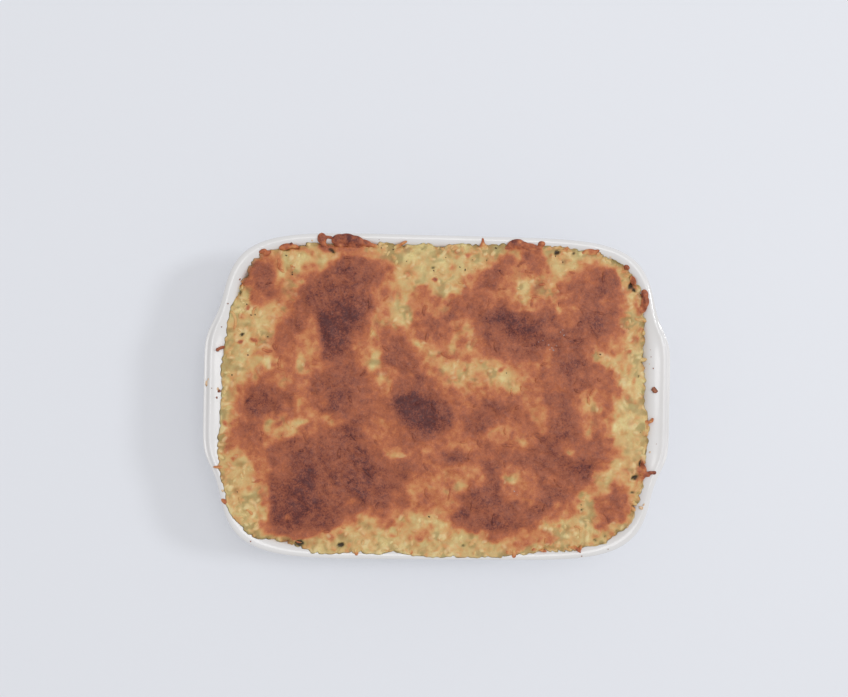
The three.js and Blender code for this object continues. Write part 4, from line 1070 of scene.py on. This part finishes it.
def add_toast_values(piece, browning, painted_shade, cream_tone_and_shading):
    """The three values that the toasted cheese's material reads."""
    add_attribute(piece, "browning", browning)
    add_attribute(piece, "painted_shade", painted_shade)
    add_attribute(piece, "cream_tone_and_shading", cream_tone_and_shading)


# the crust's edge gets more cream: a lighter rim painted against the shade where crust meets glaze
add_toast_values(
    crust,
    spread_over_pie(np.clip(top_browning, 0, 1.05)),
    spread_over_pie(painted_shade_map),
    spread_over_pie(cream_tone_and_shading, 0.8),
)
print("values at", len(crust.data.vertices), "points, mean browning", top_browning.mean().round(2))

# %% [markdown]
# ## Materials
#
# Each material is a small graph of nodes that ends in one Principled shader. Paint
# and kitchen colours are easier to judge as the 0 to 255 values of a screen, so a
# helper turns those into the linear light values that the renderer works with.


# %% Building blocks of a material
def screen_colour(red, green, blue):
    linear = [((c / 255 + 0.055) / 1.055) ** 2.4 if c > 10 else c / 255 / 12.92 for c in (red, green, blue)]
    return (*linear, 1)


class Finish:
    """A material under construction, with short ways to add and join nodes."""

    def __init__(self, name):
        self.material = bpy.data.materials.new(name)
        self.material.use_nodes = True
        self.tree = self.material.node_tree
        self.shader = self.tree.nodes["Principled BSDF"]

    def node(self, kind, **settings):
        node = self.tree.nodes.new(kind)
        for key, value in settings.items():
            setattr(node, key, value)
        return node

    def join(self, output, target):
        self.tree.links.new(output, target)

    def set(self, **values):
        for key, value in values.items():
            self.shader.inputs[key.replace("_", " ")].default_value = value

    def attribute(self, name):
        return self.node("ShaderNodeAttribute", attribute_name=name).outputs["Fac"]

    def grain(self, size, detail=2.0, roughness=0.5, swirl=0.0):
        """Smooth noise with features of `size` millimetres, around 0.5."""
        place = self.node("ShaderNodeTexCoord").outputs["Object"]
        noise_node = self.node("ShaderNodeTexNoise")
        noise_node.inputs["Scale"].default_value = 1 / (size * MM)
        noise_node.inputs["Detail"].default_value = detail
        noise_node.inputs["Roughness"].default_value = roughness
        noise_node.inputs["Distortion"].default_value = swirl
        self.join(place, noise_node.inputs["Vector"])
        return noise_node.outputs["Fac"]

    def math(self, operation, a, b):
        node = self.node("ShaderNodeMath", operation=operation)
        for socket, value in zip(node.inputs, (a, b)):
            if isinstance(value, (int, float)):
                socket.default_value = value
            else:
                self.join(value, socket)
        return node.outputs[0]

    def shifted(self, base, wave, amount):
        """The base value moved up and down by a noise that lies around 0.5."""
        centred = self.math("SUBTRACT", wave, 0.5)
        return self.math("ADD", base, self.math("MULTIPLY", centred, amount))

    def colours(self, value, stops):
        ramp = self.node("ShaderNodeValToRGB")
        marks = ramp.color_ramp.elements
        while len(marks) < len(stops):
            marks.new(0.5)
        for mark, (place, colour) in zip(marks, stops):
            mark.position = place
            mark.color = screen_colour(*colour)
        self.join(value, ramp.inputs[0])
        return ramp.outputs[0]

    def mix(self, share, a, b, mode="MIX"):
        node = self.node("ShaderNodeMix", data_type="RGBA", blend_type=mode)
        for socket, value in ((node.inputs[0], share), (node.inputs[6], a), (node.inputs[7], b)):
            if isinstance(value, (int, float, tuple)):
                socket.default_value = value
            else:
                self.join(value, socket)
        return node.outputs[2]

    def mottle(self, size, stops, detail=2.0):
        """Colours the surface in soft patches of `size` millimetres."""
        tint = self.colours(self.grain(size, detail), stops)
        self.join(tint, self.shader.inputs["Base Color"])

    def range(self, value, low, high, start=0.0, end=1.0):
        node = self.node("ShaderNodeMapRange")
        for key, number in (("From Min", low), ("From Max", high), ("To Min", start), ("To Max", end)):
            node.inputs[key].default_value = number
        self.join(value, node.inputs["Value"])
        return node.outputs[0]

    def bumps(self, height, depth):
        """Fine relief from a height value, `depth` millimetres deep."""
        node = self.node("ShaderNodeBump")
        node.inputs["Distance"].default_value = depth * MM
        self.join(height, node.inputs["Height"])
        self.join(node.outputs[0], self.shader.inputs["Normal"])


# %% [markdown]
# The glaze is opaque white with a clear, hard shine. Fired glaze is never quite
# flat: a slow ripple of a few hundredths of a millimetre bends the reflections. The
# foot is left bare, so it's a duller, warmer stoneware.


# %% Glaze and bare foot
def white_glaze():
    finish = Finish("white_glaze")
    finish.mottle(34, [(0.35, (221, 219, 218)), (0.65, (225, 223, 223))])
    finish.set(Roughness=0.16, IOR=1.5, Coat_Weight=0.35, Coat_Roughness=0.05)
    finish.bumps(finish.grain(14, 1.0), 0.06)
    return finish.material


def bare_stoneware():
    finish = Finish("bare_stoneware")
    finish.mottle(1.2, [(0.3, (205, 198, 186)), (0.7, (222, 216, 206))], 4.0)
    finish.set(Roughness=0.8)
    finish.bumps(finish.grain(0.5, 3.0), 0.08)
    return finish.material


dish.data.materials.append(white_glaze())
dish.data.materials.append(bare_stoneware())
FOOT_FACES = FOOT_RINGS - 1
bare_faces = [1 if k < FOOT_FACES * DISH_STATIONS else 0 for k in range(len(dish.data.polygons))]
dish.data.polygons.foreach_set("material_index", bare_faces)
print("bare faces on the foot:", sum(bare_faces))

# %% [markdown]
# Toasted cheese runs from butter yellow over orange to a reddish, nearly burnt
# brown. One ramp holds those colours, and the browning value at each point picks
# one. Fine noise moves the value a little, as no two spots brown alike.

# %% Toasted cheese
TOASTING = [
    (0.0, (221, 201, 140)),
    (0.12, (212, 178, 120)),
    (0.25, (208, 154, 97)),
    (0.38, (199, 128, 80)),
    (0.5, (183, 104, 64)),
    (0.62, (164, 90, 59)),
    (0.75, (147, 79, 53)),
    (0.88, (123, 59, 43)),
    (1.0, (84, 32, 30)),
]


def toasted_cheese():
    finish = Finish("toasted_cheese")
    level = finish.shifted(finish.attribute("browning"), finish.grain(2.6, 4.0, 0.6, 1.6), 0.2)
    felt = finish.range(level, 0.4, 0.75, 0.2, 0.84)
    felt_wave = finish.math("SUBTRACT", finish.grain(1.25, 3.0, 0.65, 1.0), 0.5)
    level = finish.math("ADD", level, finish.math("MULTIPLY", felt_wave, felt))
    toasted = finish.colours(level, TOASTING)
    # cream moves the colour towards pale cream and towards olive: random tone, plus painted light on grain
    # tops and the edge, painted shade in hollows
    cream = finish.attribute("cream_tone_and_shading")
    toasted = finish.mix(finish.range(cream, 0.05, 1, 0, 0.55), toasted, screen_colour(227, 214, 160))
    toasted = finish.mix(finish.range(cream, -0.05, -1, 0, 0.38), toasted, screen_colour(184, 164, 106))
    # painted shade: olive in pale parts, dark brown in browned parts, nearly black in the deepest holes
    painted_shade = finish.attribute("painted_shade")
    in_pale, in_brown = screen_colour(118, 102, 50), screen_colour(66, 36, 32)
    shadow = finish.mix(finish.range(level, 0.2, 0.6), in_pale, in_brown)
    shadow = finish.mix(finish.range(painted_shade, 0.6, 1), shadow, screen_colour(34, 18, 6))
    finish.join(
        finish.mix(finish.math("MULTIPLY", painted_shade, 0.96), toasted, shadow),
        finish.shader.inputs["Base Color"],
    )
    finish.join(finish.range(finish.grain(2.2), 0.3, 0.7, 0.4, 0.62), finish.shader.inputs["Roughness"])
    finish.set(IOR=1.45, Subsurface_Weight=0.08, Subsurface_Scale=1.0)
    finish.set(Subsurface_Radius=(0.0022, 0.0011, 0.0005))
    finish.bumps(finish.grain(0.9, 4.0, 0.6, 0.5), 0.26)
    return finish.material


toast = toasted_cheese()
crust.data.materials.append(toast)

# %% [markdown]
# ## Cheese that ran over the rim
#
# Melted cheese crept over the lip in round drips and thin strands and browned
# there. Each is a few flattened lumps. Voxel remeshing wraps one closed skin round
# lumps that overlap, as if they had flowed together, and a little smoothing takes
# off the steps. Points that would sink into the glaze are lifted onto it.

# %% Lumps of the drips
# middle x and y, half length, half width, height of the top, turn, browning level
LAPS = [
    (-83.2, 108.2, 4.1, 3.3, 60.2, 96, 0.64), (-82, 104.2, 3.4, 2.1, 59.4, 112, 0.6),
    (-79.6, 101.6, 3, 1.5, 58.8, 132, 0.5), (-78.6, 109.2, 3.4, 1.1, 59.6, -6, 0.64),
    (-72.4, 108, 4.8, 3.4, 60.4, 30, 0.74), (-66, 108.4, 6.2, 3.8, 60.8, -2, 0.92),
    (-59.6, 107.2, 5.6, 3.6, 60.4, -16, 0.84), (-53.4, 105.8, 5, 2.4, 59.4, -16, 0.62),
    (-48, 104.4, 4.2, 1.5, 58.6, -14, 0.5), (-70, 104.6, 5, 2.4, 59, 0, 0.56),
    (-61, 104.4, 6, 2.4, 59, -8, 0.5), (-27.5, 106.4, 3.6, 1.1, 59, 28, 0.44),
    (-31, 104.4, 3, 1.4, 58.6, 24, 0.3), (27.9, 108.8, 2.9, 1, 59.2, 94, 0.48),
    (28, 106.2, 2.7, 2, 59.2, 92, 0.42), (28.6, 104.4, 3.6, 2.3, 58.8, 0, 0.3),
    (50.5, 107.4, 6.2, 3.7, 60.4, 16, 0.7), (46.8, 105.6, 4.4, 2.6, 59.4, 44, 0.52),
    (56, 106.2, 5.4, 3.6, 60.2, -12, 0.5), (63, 105.6, 5.6, 2.6, 59.6, -20, 0.54),
    (69, 108.2, 2.1, 2.7, 59.6, 90, 0.58), (67.6, 105.2, 3.8, 2.1, 59, 64, 0.54),
    (86, 104.6, 3, 1.3, 58.6, 48, 0.46), (82.6, 103.4, 2.4, 1.2, 58.4, 0, 0.36),
    (103.7, 103.5, 5.2, 2.2, 58.8, -4, 0.44), (108, 104.2, 2.1, 1.2, 58.8, 10, 0.5),
    (99.6, 102.8, 3, 1.6, 58.4, 20, 0.4), (-123.6, 98.6, 2.9, 1.5, 58.6, 25, 0.7),
    (-120.6, 97.2, 3.2, 1.8, 58.2, 34, 0.56), (-108, 102, 5, 2.3, 58.3, 14, 0.52),
    (-104.2, 104, 1.2, 0.9, 58.8, 60, 1.1), (-102, 102.4, 3.2, 1.5, 58.3, -6, 0.5),
    (142.4, 74.8, 3.6, 2.6, 59.7, -76, 0.68), (142.8, 69.6, 4.4, 2.9, 59.9, -92, 0.74),
    (141.4, 65, 4, 2.7, 59.7, -116, 0.68), (138.2, 62.4, 2.8, 1.8, 59, -150, 0.58),
    (129.6, 93.4, 2.3, 1.6, 58.5, -40, 0.6), (134.4, 84.4, 3.6, 1.9, 58.5, -66, 0.5),
    (147.2, -14.8, 3.8, 1.1, 58.9, 16, 0.46), (149.6, -13.2, 1.7, 1, 58.9, 60, 0.5),
    (145.6, -19, 6.4, 1.7, 58.4, 94, 0.3), (143.6, -46.6, 4.4, 2.3, 58.9, -62, 0.58),
    (145.2, -51, 4.2, 2, 59, -20, 0.56), (149.4, -50.2, 3, 1.3, 59, 4, 0.6),
    (151.6, -50.1, 1.6, 1.4, 59, 4, 0.68), (142.8, -54.4, 4.2, 1.8, 58.6, 40, 0.46),
    (140.4, -58, 2.6, 1.5, 58.2, 50, 0.38), (-150.4, 31.8, 2.7, 1.2, 59.8, 20, 0.66),
    (-152.9, 30.4, 1.5, 1.3, 59.6, 60, 0.74), (-150.8, -49.9, 4, 1.1, 59.6, 0, 0.44),
    (-146, -73.6, 3.4, 1.7, 58.8, -30, 0.44), (94.6, -102.4, 4.2, 1.8, 59.2, -20, 0.44),
    (98.8, -104.6, 3, 1.1, 59.3, -44, 0.52), (100.6, -103.4, 2, 1, 59.2, 70, 0.52),
    (69, -104.2, 3.2, 1.3, 59.2, 20, 0.5), (74, -105.4, 3.2, 1, 59.1, -12, 0.5),
    (-94.8, -100.2, 3, 1.9, 58.8, 0, 0.62), (3, -107.8, 2.6, 1.5, 58.8, 84, 0.28),
    (-17.8, -107, 2.3, 1.5, 58.8, 96, 0.26), (-55.7, -107.4, 2.6, 1.6, 58.9, 100, 0.34),
    (26, -107.2, 2.6, 1.4, 58.8, 80, 0.26), (53.9, -107.8, 3, 1.8, 58.9, 86, 0.36),
    (50, -106.4, 2.8, 1.5, 58.8, 60, 0.4),
]
LUMP_HALF_THICKNESS = 2.1
VOXEL = 0.42


def ball(rings, half_height):
    """Points and faces of a closed ball, from its rings between two poles."""
    sides = len(rings[0])
    points = np.concatenate([*rings, np.array([[0, 0, -half_height], [0, 0, half_height]])])
    faces = ring_faces(len(rings), sides)
    faces += fan(0, sides, len(points) - 2, True)
    faces += fan((len(rings) - 1) * sides, sides, len(points) - 1, False)
    return points, faces


def lump(x, y, half_length, half_width, top, turn):
    """A flattened ball, turned in plan."""
    circles, sides = 9, 18
    rings = []
    for k in range(1, circles):
        slant = math.pi * k / circles
        round_angle = np.arange(sides) * 2 * np.pi / sides
        ring = np.stack(
            [
                half_length * math.sin(slant) * np.cos(round_angle),
                half_width * math.sin(slant) * np.sin(round_angle),
                np.full(sides, -LUMP_HALF_THICKNESS * math.cos(slant)),
            ],
            1,
        )
        rings.append(ring)
    points, faces = ball(rings, LUMP_HALF_THICKNESS)
    return turned_in_plan(points, math.radians(turn)) + [x, y, top - LUMP_HALF_THICKNESS], faces


def gather(name, shapes):
    """One mesh from many small closed shapes."""
    points, faces, first = [], [], 0
    for shape_points, shape_faces in shapes:
        points.append(shape_points)
        faces += [tuple(first + v for v in face) for face in shape_faces]
        first += len(shape_points)
    return add_mesh(name, np.concatenate(points), faces)


def flow_together(piece, voxel, rounds):
    """Remeshes and smooths a piece, and keeps the result as its mesh."""
    remesh = piece.modifiers.new("flow", "REMESH")
    remesh.mode, remesh.voxel_size, remesh.use_smooth_shade = "VOXEL", voxel * MM, True
    soften = piece.modifiers.new("soften", "SMOOTH")
    soften.factor, soften.iterations = 0.5, rounds
    drawn = piece.evaluated_get(bpy.context.evaluated_depsgraph_get())
    finished = bpy.data.meshes.new_from_object(drawn)
    piece.modifiers.clear()
    piece.data = finished


# %% Skin of the drips
BURIED = 4.0  # the drips are level with the crust this far in from its edge
SKIN_LIFT = 0.12  # between a drip and the glaze

drips = gather("cheese_drips", [lump(*lap[:6]) for lap in LAPS])
flow_together(drips, VOXEL, 5)
place = corners(drips)
inward = np.clip(inside_crust(place[:, 0], place[:, 1]) / BURIED, 0, 1)
highest = read_map(top_map, place[:, 0], place[:, 1]) + 1.5 - 1.7 * inward
place[:, 2] += 0.3 * layered_noise(place[:, 0], place[:, 1], 2.6, 91, 2)
place[:, 2] = np.where(inward > 0, np.minimum(place[:, 2], highest), place[:, 2])
on_glaze = heights(glaze_tree, place[:, 0], place[:, 1])
on_glaze = np.where(np.isnan(on_glaze), 50, on_glaze)
place[:, 2] = np.maximum(place[:, 2], on_glaze + SKIN_LIFT)
place[:, 2] = np.minimum(place[:, 2], TOP_LIMIT)
drips.data.vertices.foreach_set("co", (place * MM).ravel())
print("drips reach from", place[:, 2].min().round(1), "to", place[:, 2].max().round(1), "mm high")

# %% Colour of the drips
CRUST_TINT = 0.6  # how far the buried part of a drip takes the crust's colour
away = [
    np.hypot(place[:, 0] - x, place[:, 1] - y) / (half_length + half_width)
    for x, y, half_length, half_width, *_ in LAPS
]
weight = np.exp(-6 * np.array(away))
lap_level = (weight * np.array([lap[6] for lap in LAPS])[:, None]).sum(0) / weight.sum(0)
crust_level = read_map(np.clip(top_browning, 0, 1), place[:, 0], place[:, 1])
buried = soft_step(inside_crust(place[:, 0], place[:, 1]), 0, 4)
lap_level = blend(lap_level, crust_level, CRUST_TINT * buried)
outward = np.clip(-inside_crust(place[:, 0], place[:, 1]), 0, 5) / 5
lap_level += 0.08 * outward + 0.3 * layered_noise(place[:, 0], place[:, 1], 2.8, 92, 2)
add_toast_values(drips, np.clip(lap_level, 0, 1), np.zeros(len(place)), np.zeros(len(place)))
drips.data.materials.append(toast)
print("cheese_drips:", count_triangles(drips), "triangles")

# %% [markdown]
# ## Loose bits on top
#
# Rice grains and shreds of cheese are short tubes along a path, fat in the middle
# and round at the ends. They are strewn by chance and then chosen by place: grains
# along the pale border, shreds where the top took colour. Each lies more than half
# sunk, and carries the browning of the spot it lies on.


# %% Tubes along a path
def tube(path, widths, thicknesses, sides=7):
    """A closed tube round the path, with its own width and thickness at each point."""
    path = np.asarray(path, float)
    ahead = np.gradient(path, axis=0)
    ahead /= np.linalg.norm(ahead, axis=1)[:, None]
    sideways = np.cross([0, 0, 1], ahead)
    sideways /= np.linalg.norm(sideways, axis=1)[:, None]
    upward = np.cross(ahead, sideways)
    round_angle = np.arange(sides) * 2 * np.pi / sides
    rings = (
        path[:, None]
        + sideways[:, None] * (np.cos(round_angle)[None, :, None] * np.asarray(widths)[:, None, None])
        + upward[:, None] * (np.sin(round_angle)[None, :, None] * np.asarray(thicknesses)[:, None, None])
    )
    points = np.concatenate([rings.reshape(-1, 3), path[:1], path[-1:]])
    faces = [face[::-1] for face in ring_faces(len(path), sides)]
    faces += fan(0, sides, len(points) - 2, False)
    faces += fan((len(path) - 1) * sides, sides, len(points) - 1, True)
    return points, faces


def strewn(draw, count, margin, wanted):
    """Places on the crust, kept with the chance that `wanted` gives for each."""
    x, y = draw.uniform(-152, 152, count), draw.uniform(-112, 112, count)
    direction = np.arctan2(y, x)
    inside = np.hypot(x, y) < body_radius(direction, crust_edge(direction) + margin)
    kept = inside & (draw.random(count) < wanted(x, y))
    return np.stack([x, y], 1)[kept]


def rice_grain(draw, x, y):
    half_length, half_width = draw.uniform(2.1, 3.0), draw.uniform(1.2, 1.6)
    heading, tilt, bend = draw.uniform(0, 2 * math.pi), draw.normal(0, 0.08), draw.normal(0, 0.2)
    along = np.linspace(-1, 1, 9) * 0.985
    side_step = bend * along**2
    path_x = x + half_length * along * math.cos(heading) - side_step * math.sin(heading)
    path_y = y + half_length * along * math.sin(heading) + side_step * math.cos(heading)
    height = height_at(blur_top, x, y) - draw.uniform(0.45, 0.85) * half_width
    path_z = height + half_length * along * math.sin(tilt)
    widths = half_width * np.sqrt(1 - along**2) ** 0.8
    return tube(np.stack([path_x, path_y, path_z], 1), widths, widths * 0.92)


def pale_places(x, y):
    return np.clip(1 - read_map(browning_map, x, y) / 0.42, 0, 1) ** 1.2


def pale_border(x, y):
    clear = np.ones(x.shape)
    for lap_x, lap_y, half_length, *_ in LAPS:
        clear *= np.hypot(x - lap_x, y - lap_y) > half_length + 3
    return clear * pale_places(x, y) * (0.06 + 0.8 * np.exp(-inside_crust(x, y) / 6))


LOOSE_GRAINS = 5200  # tries: most fall where no grain is wanted
blur_top = blur_map(top_map, 0.9)
draw = np.random.default_rng(17)
grain_places = strewn(draw, LOOSE_GRAINS, 1.3, pale_border)
grains = gather("rice_grains", [rice_grain(draw, *spot) for spot in grain_places])
print("rice_grains:", len(grain_places), "grains,", count_triangles(grains), "triangles")


# %% Shreds of toasted cheese
def cheese_shred(draw, x, y):
    length, half_width = draw.uniform(4, 11), draw.uniform(0.7, 1.05)
    steps = max(6, int(length / 1.1))
    heading, bend = draw.uniform(0, 2 * math.pi), draw.normal(0, 0.12)
    headings = heading + bend * np.arange(steps) + np.cumsum(draw.normal(0, 0.1, steps))
    path_x = x + np.cumsum(np.cos(headings)) * length / steps
    path_y = y + np.cumsum(np.sin(headings)) * length / steps
    direction = np.arctan2(path_y, path_x)
    outside = np.hypot(path_x, path_y) > body_radius(direction, crust_edge(direction) + 0.8)
    if outside.any():
        return None
    sunk = draw.uniform(0.05, 0.35)
    path_z = read_map(blur_top, path_x, path_y) - sunk + 0.3 * np.sin(np.linspace(0, math.pi, steps))
    along = np.linspace(-0.98, 0.98, steps)
    ragged_width = half_width * (1 - along**4) ** 0.5 * draw.uniform(0.75, 1.2, steps)
    return tube(np.stack([path_x, path_y, path_z], 1), ragged_width, 0.42 * ragged_width + 0.08, 8)


def toasted_places(x, y):
    level = read_map(browning_map, x, y)
    return 0.12 + 0.5 * soft_step(level, 0.2, 0.45) * (1 - 0.6 * soft_step(level, 0.6, 0.85))


# shreds that can be told apart, as points from end to end
CLEAR_SHREDS = [
    [(-145, 57), (-143, 55.6), (-141.4, 52), (-141.2, 48), (-142.6, 44.6)],
    [(-123, 31.5), (-119, 30), (-115.4, 30.2)],
    [(96, -89), (99, -88.6), (101, -90.6), (100, -93)],
    [(136, 58), (139, 56.6), (141, 58)],
    [(-113, 94), (-112, 90.4), (-113.4, 87)],
]


def placed_shred(path):
    path = np.array(path, float)
    x, y = (np.interp(np.linspace(0, len(path) - 1, 14), np.arange(len(path)), path[:, k]) for k in (0, 1))
    x, y = (np.convolve(np.pad(v, 1, mode="edge"), [0.25, 0.5, 0.25], "valid") for v in (x, y))
    width = 1.1 * (1 - np.linspace(-0.98, 0.98, 14) ** 4) ** 0.5
    return tube(np.stack([x, y, read_map(blur_top, x, y) - 0.1], 1), width, 0.6 * width, 8)


LOOSE_SHREDS = 300  # tries
draw = np.random.default_rng(23)
shred_places = strewn(draw, LOOSE_SHREDS, 5, toasted_places)
loose_shreds = [s for s in (cheese_shred(draw, *spot) for spot in shred_places) if s]
shreds = gather("cheese_shreds", loose_shreds + [placed_shred(path) for path in CLEAR_SHREDS])
print("cheese_shreds:", count_triangles(shreds), "triangles")

# %% Colour of the loose bits
for piece, cream, more, seed in [(grains, 0.8, -0.02, 95), (shreds, 0, 0.08, 96)]:
    place = corners(piece)
    level = read_map(np.clip(top_browning, 0, 1), place[:, 0], place[:, 1]) + more
    level += 0.08 * noise(place[:, 0], place[:, 1], 7, seed)
    cream_tone = cream * noise(place[:, 0], place[:, 1], 6, seed + 9)
    add_toast_values(piece, np.clip(level, 0, 1), np.zeros(len(place)), cream_tone)
    piece.data.materials.append(toast)
    print(piece.name, "mean browning", level.mean().round(2))

# %% [markdown]
# ## Flecks and crumbs
#
# Tiny bits of herb and pepper show in the pale parts, and a few crumbs and burnt
# dots lie on the glaze where the cheese spat. At a millimetre or two a rough pebble
# shape is enough: a ball of few faces, squashed and jittered.


# %% Pebbles
def pebble(draw, x, y, height, size, flatness):
    """A rough little lump, `size` millimetres across, resting at a height."""
    rows, sides = 4, 6
    half_height = flatness * size / 2
    rings = []
    for k in range(1, rows):
        slant = math.pi * k / rows
        reach = size / 2 * math.sin(slant) * draw.uniform(0.7, 1.15, sides)
        turn = np.arange(sides) * 2 * np.pi / sides + draw.uniform(0, 1)
        level = np.full(sides, -half_height * math.cos(slant))
        rings.append(np.stack([reach * np.cos(turn), reach * np.sin(turn), level], 1))
    points, faces = ball(rings, half_height)
    stretch, turn = draw.uniform(1, 1.8), draw.uniform(0, math.pi)
    points[:, 0] *= stretch
    return turned_in_plan(points, turn) + [x, y, height + half_height], faces


HERB_FLECKS = 300
PLACED_FLECKS = [
    (12, 91), (16, 89), (23, 90), (31, 96), (-34, 102), (-6, 88), (76, 93), (84, 96), (79, 100),
    (-103, 83), (-128, 55), (-134, 62), (-119, 40), (-112, -18), (46, 18), (101, -77), (140, 17),
    (-42, 103), (132, 50),
]
draw = np.random.default_rng(29)
fleck_places = [*PLACED_FLECKS, *strewn(draw, HERB_FLECKS, 1.5, pale_places)]
fleck_shapes = [
    pebble(draw, x, y, height_at(top_map, x, y) - 0.22, draw.uniform(0.5, 1.3), 0.4)
    for x, y in fleck_places
]
flecks = gather("herb_flecks", fleck_shapes)
print("herb_flecks:", len(fleck_places), "flecks,", count_triangles(flecks), "triangles")

# %% Crumbs on the rim
# x, y, size, flatness
RIM_CRUMBS = [
    (150.6, 8, 3.6, 0.3), (151.4, 6.6, 2.6, 0.3), (150, 23, 0.9, 0.5), (-139, 79, 1.5, 0.4),
    (-146.5, 62, 1, 0.6), (-153, -2.4, 1.3, 0.5), (-156.4, 4, 0.7, 0.6), (-151.5, 2.2, 2.2, 0.4),
    (101.5, -109, 0.8, 0.6), (148.4, 31, 0.6, 0.6), (-150.6, 46, 0.7, 0.6),
    (-128, -100.6, 0.9, 0.5), (153, -30, 0.6, 0.6), (148, 36, 0.5, 0.6), (-44, 108.4, 0.6, 0.6),
    (120, -104, 0.7, 0.6),
]
BAKED_ON = 0.02  # how deep a crumb or stain sits in the glaze's skin


def on_the_glaze(draw, x, y, size, flatness):
    resting = float(heights(glaze_tree, [x], [y])[0])
    return pebble(draw, x, y, resting - BAKED_ON, size, flatness)


draw = np.random.default_rng(31)
crumbs = gather("rim_crumbs", [on_the_glaze(draw, *crumb) for crumb in RIM_CRUMBS])
print("rim_crumbs:", len(RIM_CRUMBS), "crumbs")

# %% Stains on the glaze and painted glints of grease
# x, y, size
STAINS = [
    (-160, 7.6, 3.4), (-158.6, 10, 1.8), (149, -36, 1.8), (143.6, -75, 3), (144.8, -72.6, 1.6),
    (147.6, 26, 1.2), (-152.6, 3.6, 2), (-147.6, -66, 1.8), (118, 100.6, 1.4), (-90, 107, 1.6),
    (134, -89, 2),
]
# pale specks on the browned top: painted highlights where grease shines
GREASE_GLINT_SPOTS = [
    (75, 38, 1.6), (77.4, 36, 1.4), (78.6, 34.4, 1.8), (76, 34.8, 1), (71, 41, 1), (83, 47, 1.4),
    (85.6, 45, 1.6), (84.6, 48.6, 0.9), (88, 43, 1), (73, 35.6, 0.8), (80.6, 37.6, 0.9),
    (53, -64, 1.2), (55, -66.4, 0.9), (68, 40, 0.8),
]
draw = np.random.default_rng(37)
stains = gather("rim_stains", [on_the_glaze(draw, *stain, 0.08) for stain in STAINS])
speck_shapes = [
    pebble(draw, x, y, height_at(top_map, x, y) - 0.1, 0.8 * size, 0.25)
    for x, y, size in GREASE_GLINT_SPOTS
]
grease_glint_spots = gather("grease_glint_spots", speck_shapes)
print("rim_stains:", len(STAINS), "and grease_glint_spots:", len(GREASE_GLINT_SPOTS))


# %% Finish of flecks and crumbs
def dried_herb():
    finish = Finish("dried_herb")
    finish.mottle(9, [(0.4, (96, 88, 44)), (0.62, (88, 58, 34))])
    finish.set(Roughness=0.7)
    return finish.material


def burnt_crumb():
    finish = Finish("burnt_crumb")
    finish.mottle(1.1, [(0.35, (116, 64, 46)), (0.65, (164, 100, 68))], 3.0)
    finish.set(Roughness=0.6)
    return finish.material


def thin_sauce():
    finish = Finish("thin_sauce")
    finish.mottle(1.4, [(0.35, (224, 196, 164)), (0.65, (202, 160, 118))], 3.0)
    finish.set(Roughness=0.35)
    return finish.material


# painted highlights: pale pink-white specks for the shine of grease
def painted_grease_shine():
    finish = Finish("painted_grease_shine")
    finish.mottle(0.8, [(0.35, (150, 116, 108)), (0.65, (186, 158, 154))])
    finish.set(Roughness=0.4)
    return finish.material


flecks.data.materials.append(dried_herb())
crumbs.data.materials.append(burnt_crumb())
stains.data.materials.append(thin_sauce())
grease_glint_spots.data.materials.append(painted_grease_shine())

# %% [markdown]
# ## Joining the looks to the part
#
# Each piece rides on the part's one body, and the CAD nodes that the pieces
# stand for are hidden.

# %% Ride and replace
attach(dish, "root")
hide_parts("dish")
for piece in (crust, drips, grains, shreds, flecks, crumbs, stains, grease_glint_spots):
    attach(piece, "root")
    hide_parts("pie")

# %% [markdown]
# ## Floor, light and camera
#
# A plain pale floor, one broad soft light nearly overhead, and a smaller one high on
# the right that draws the shine along the rim. The sky fills the shadows. The camera
# looks straight down from 60 cm above the crust, a little off the middle.

# %% Floor
FLOOR_SIZE = 6000
floor_corners = [(FLOOR_SIZE * x, FLOOR_SIZE * y, 0) for x, y in [(-1, -1), (1, -1), (1, 1), (-1, 1)]]
floor = add_mesh("floor", floor_corners, [(0, 1, 2, 3)])
pale_floor = Finish("pale_floor")
pale_floor.set(Base_Color=screen_colour(228, 230, 236), Roughness=0.7)
floor.data.materials.append(pale_floor.material)


# %% Light
WHITE, COOL_WHITE = (1, 1, 1), (0.94, 0.97, 1)
SKY_STRENGTH = 0.665


def soft_light(name, place, size, power, tint):
    """A round area light, `size` metres across, that faces the part."""
    lamp = bpy.data.lights.new(name, "AREA")
    lamp.shape, lamp.size, lamp.energy, lamp.color = "DISK", size, power, tint
    holder = bpy.data.objects.new(name, lamp)
    bpy.context.scene.collection.objects.link(holder)
    holder.location = place
    holder.rotation_euler = (-Vector(place)).to_track_quat("-Z", "Y").to_euler()


soft_light("window", (0.3, 0.6, 3.4), 2.0, 24, WHITE)
soft_light("second_window", (3.0, 0.6, 2.8), 0.75, 32, COOL_WHITE)
sky = bpy.data.worlds.new("soft_sky")
sky.use_nodes = True
sky.node_tree.nodes["Background"].inputs["Color"].default_value = (1, 1, 1, 1)
sky.node_tree.nodes["Background"].inputs["Strength"].default_value = SKY_STRENGTH
bpy.context.scene.world = sky
bpy.context.scene.view_settings.view_transform = "Standard"

# %% Camera
CAMERA_PLACE = (-39.7, 36.0, 658)
CAMERA_TILT = (-0.25, -2.68, 1.10)
LENS = 36.87
camera = bpy.data.objects.new("camera", bpy.data.cameras.new("camera"))
bpy.context.scene.collection.objects.link(camera)
camera.location = [value * MM for value in CAMERA_PLACE]
camera.rotation_euler = [math.radians(value) for value in CAMERA_TILT]
camera.data.lens = LENS
bpy.context.scene.camera = camera
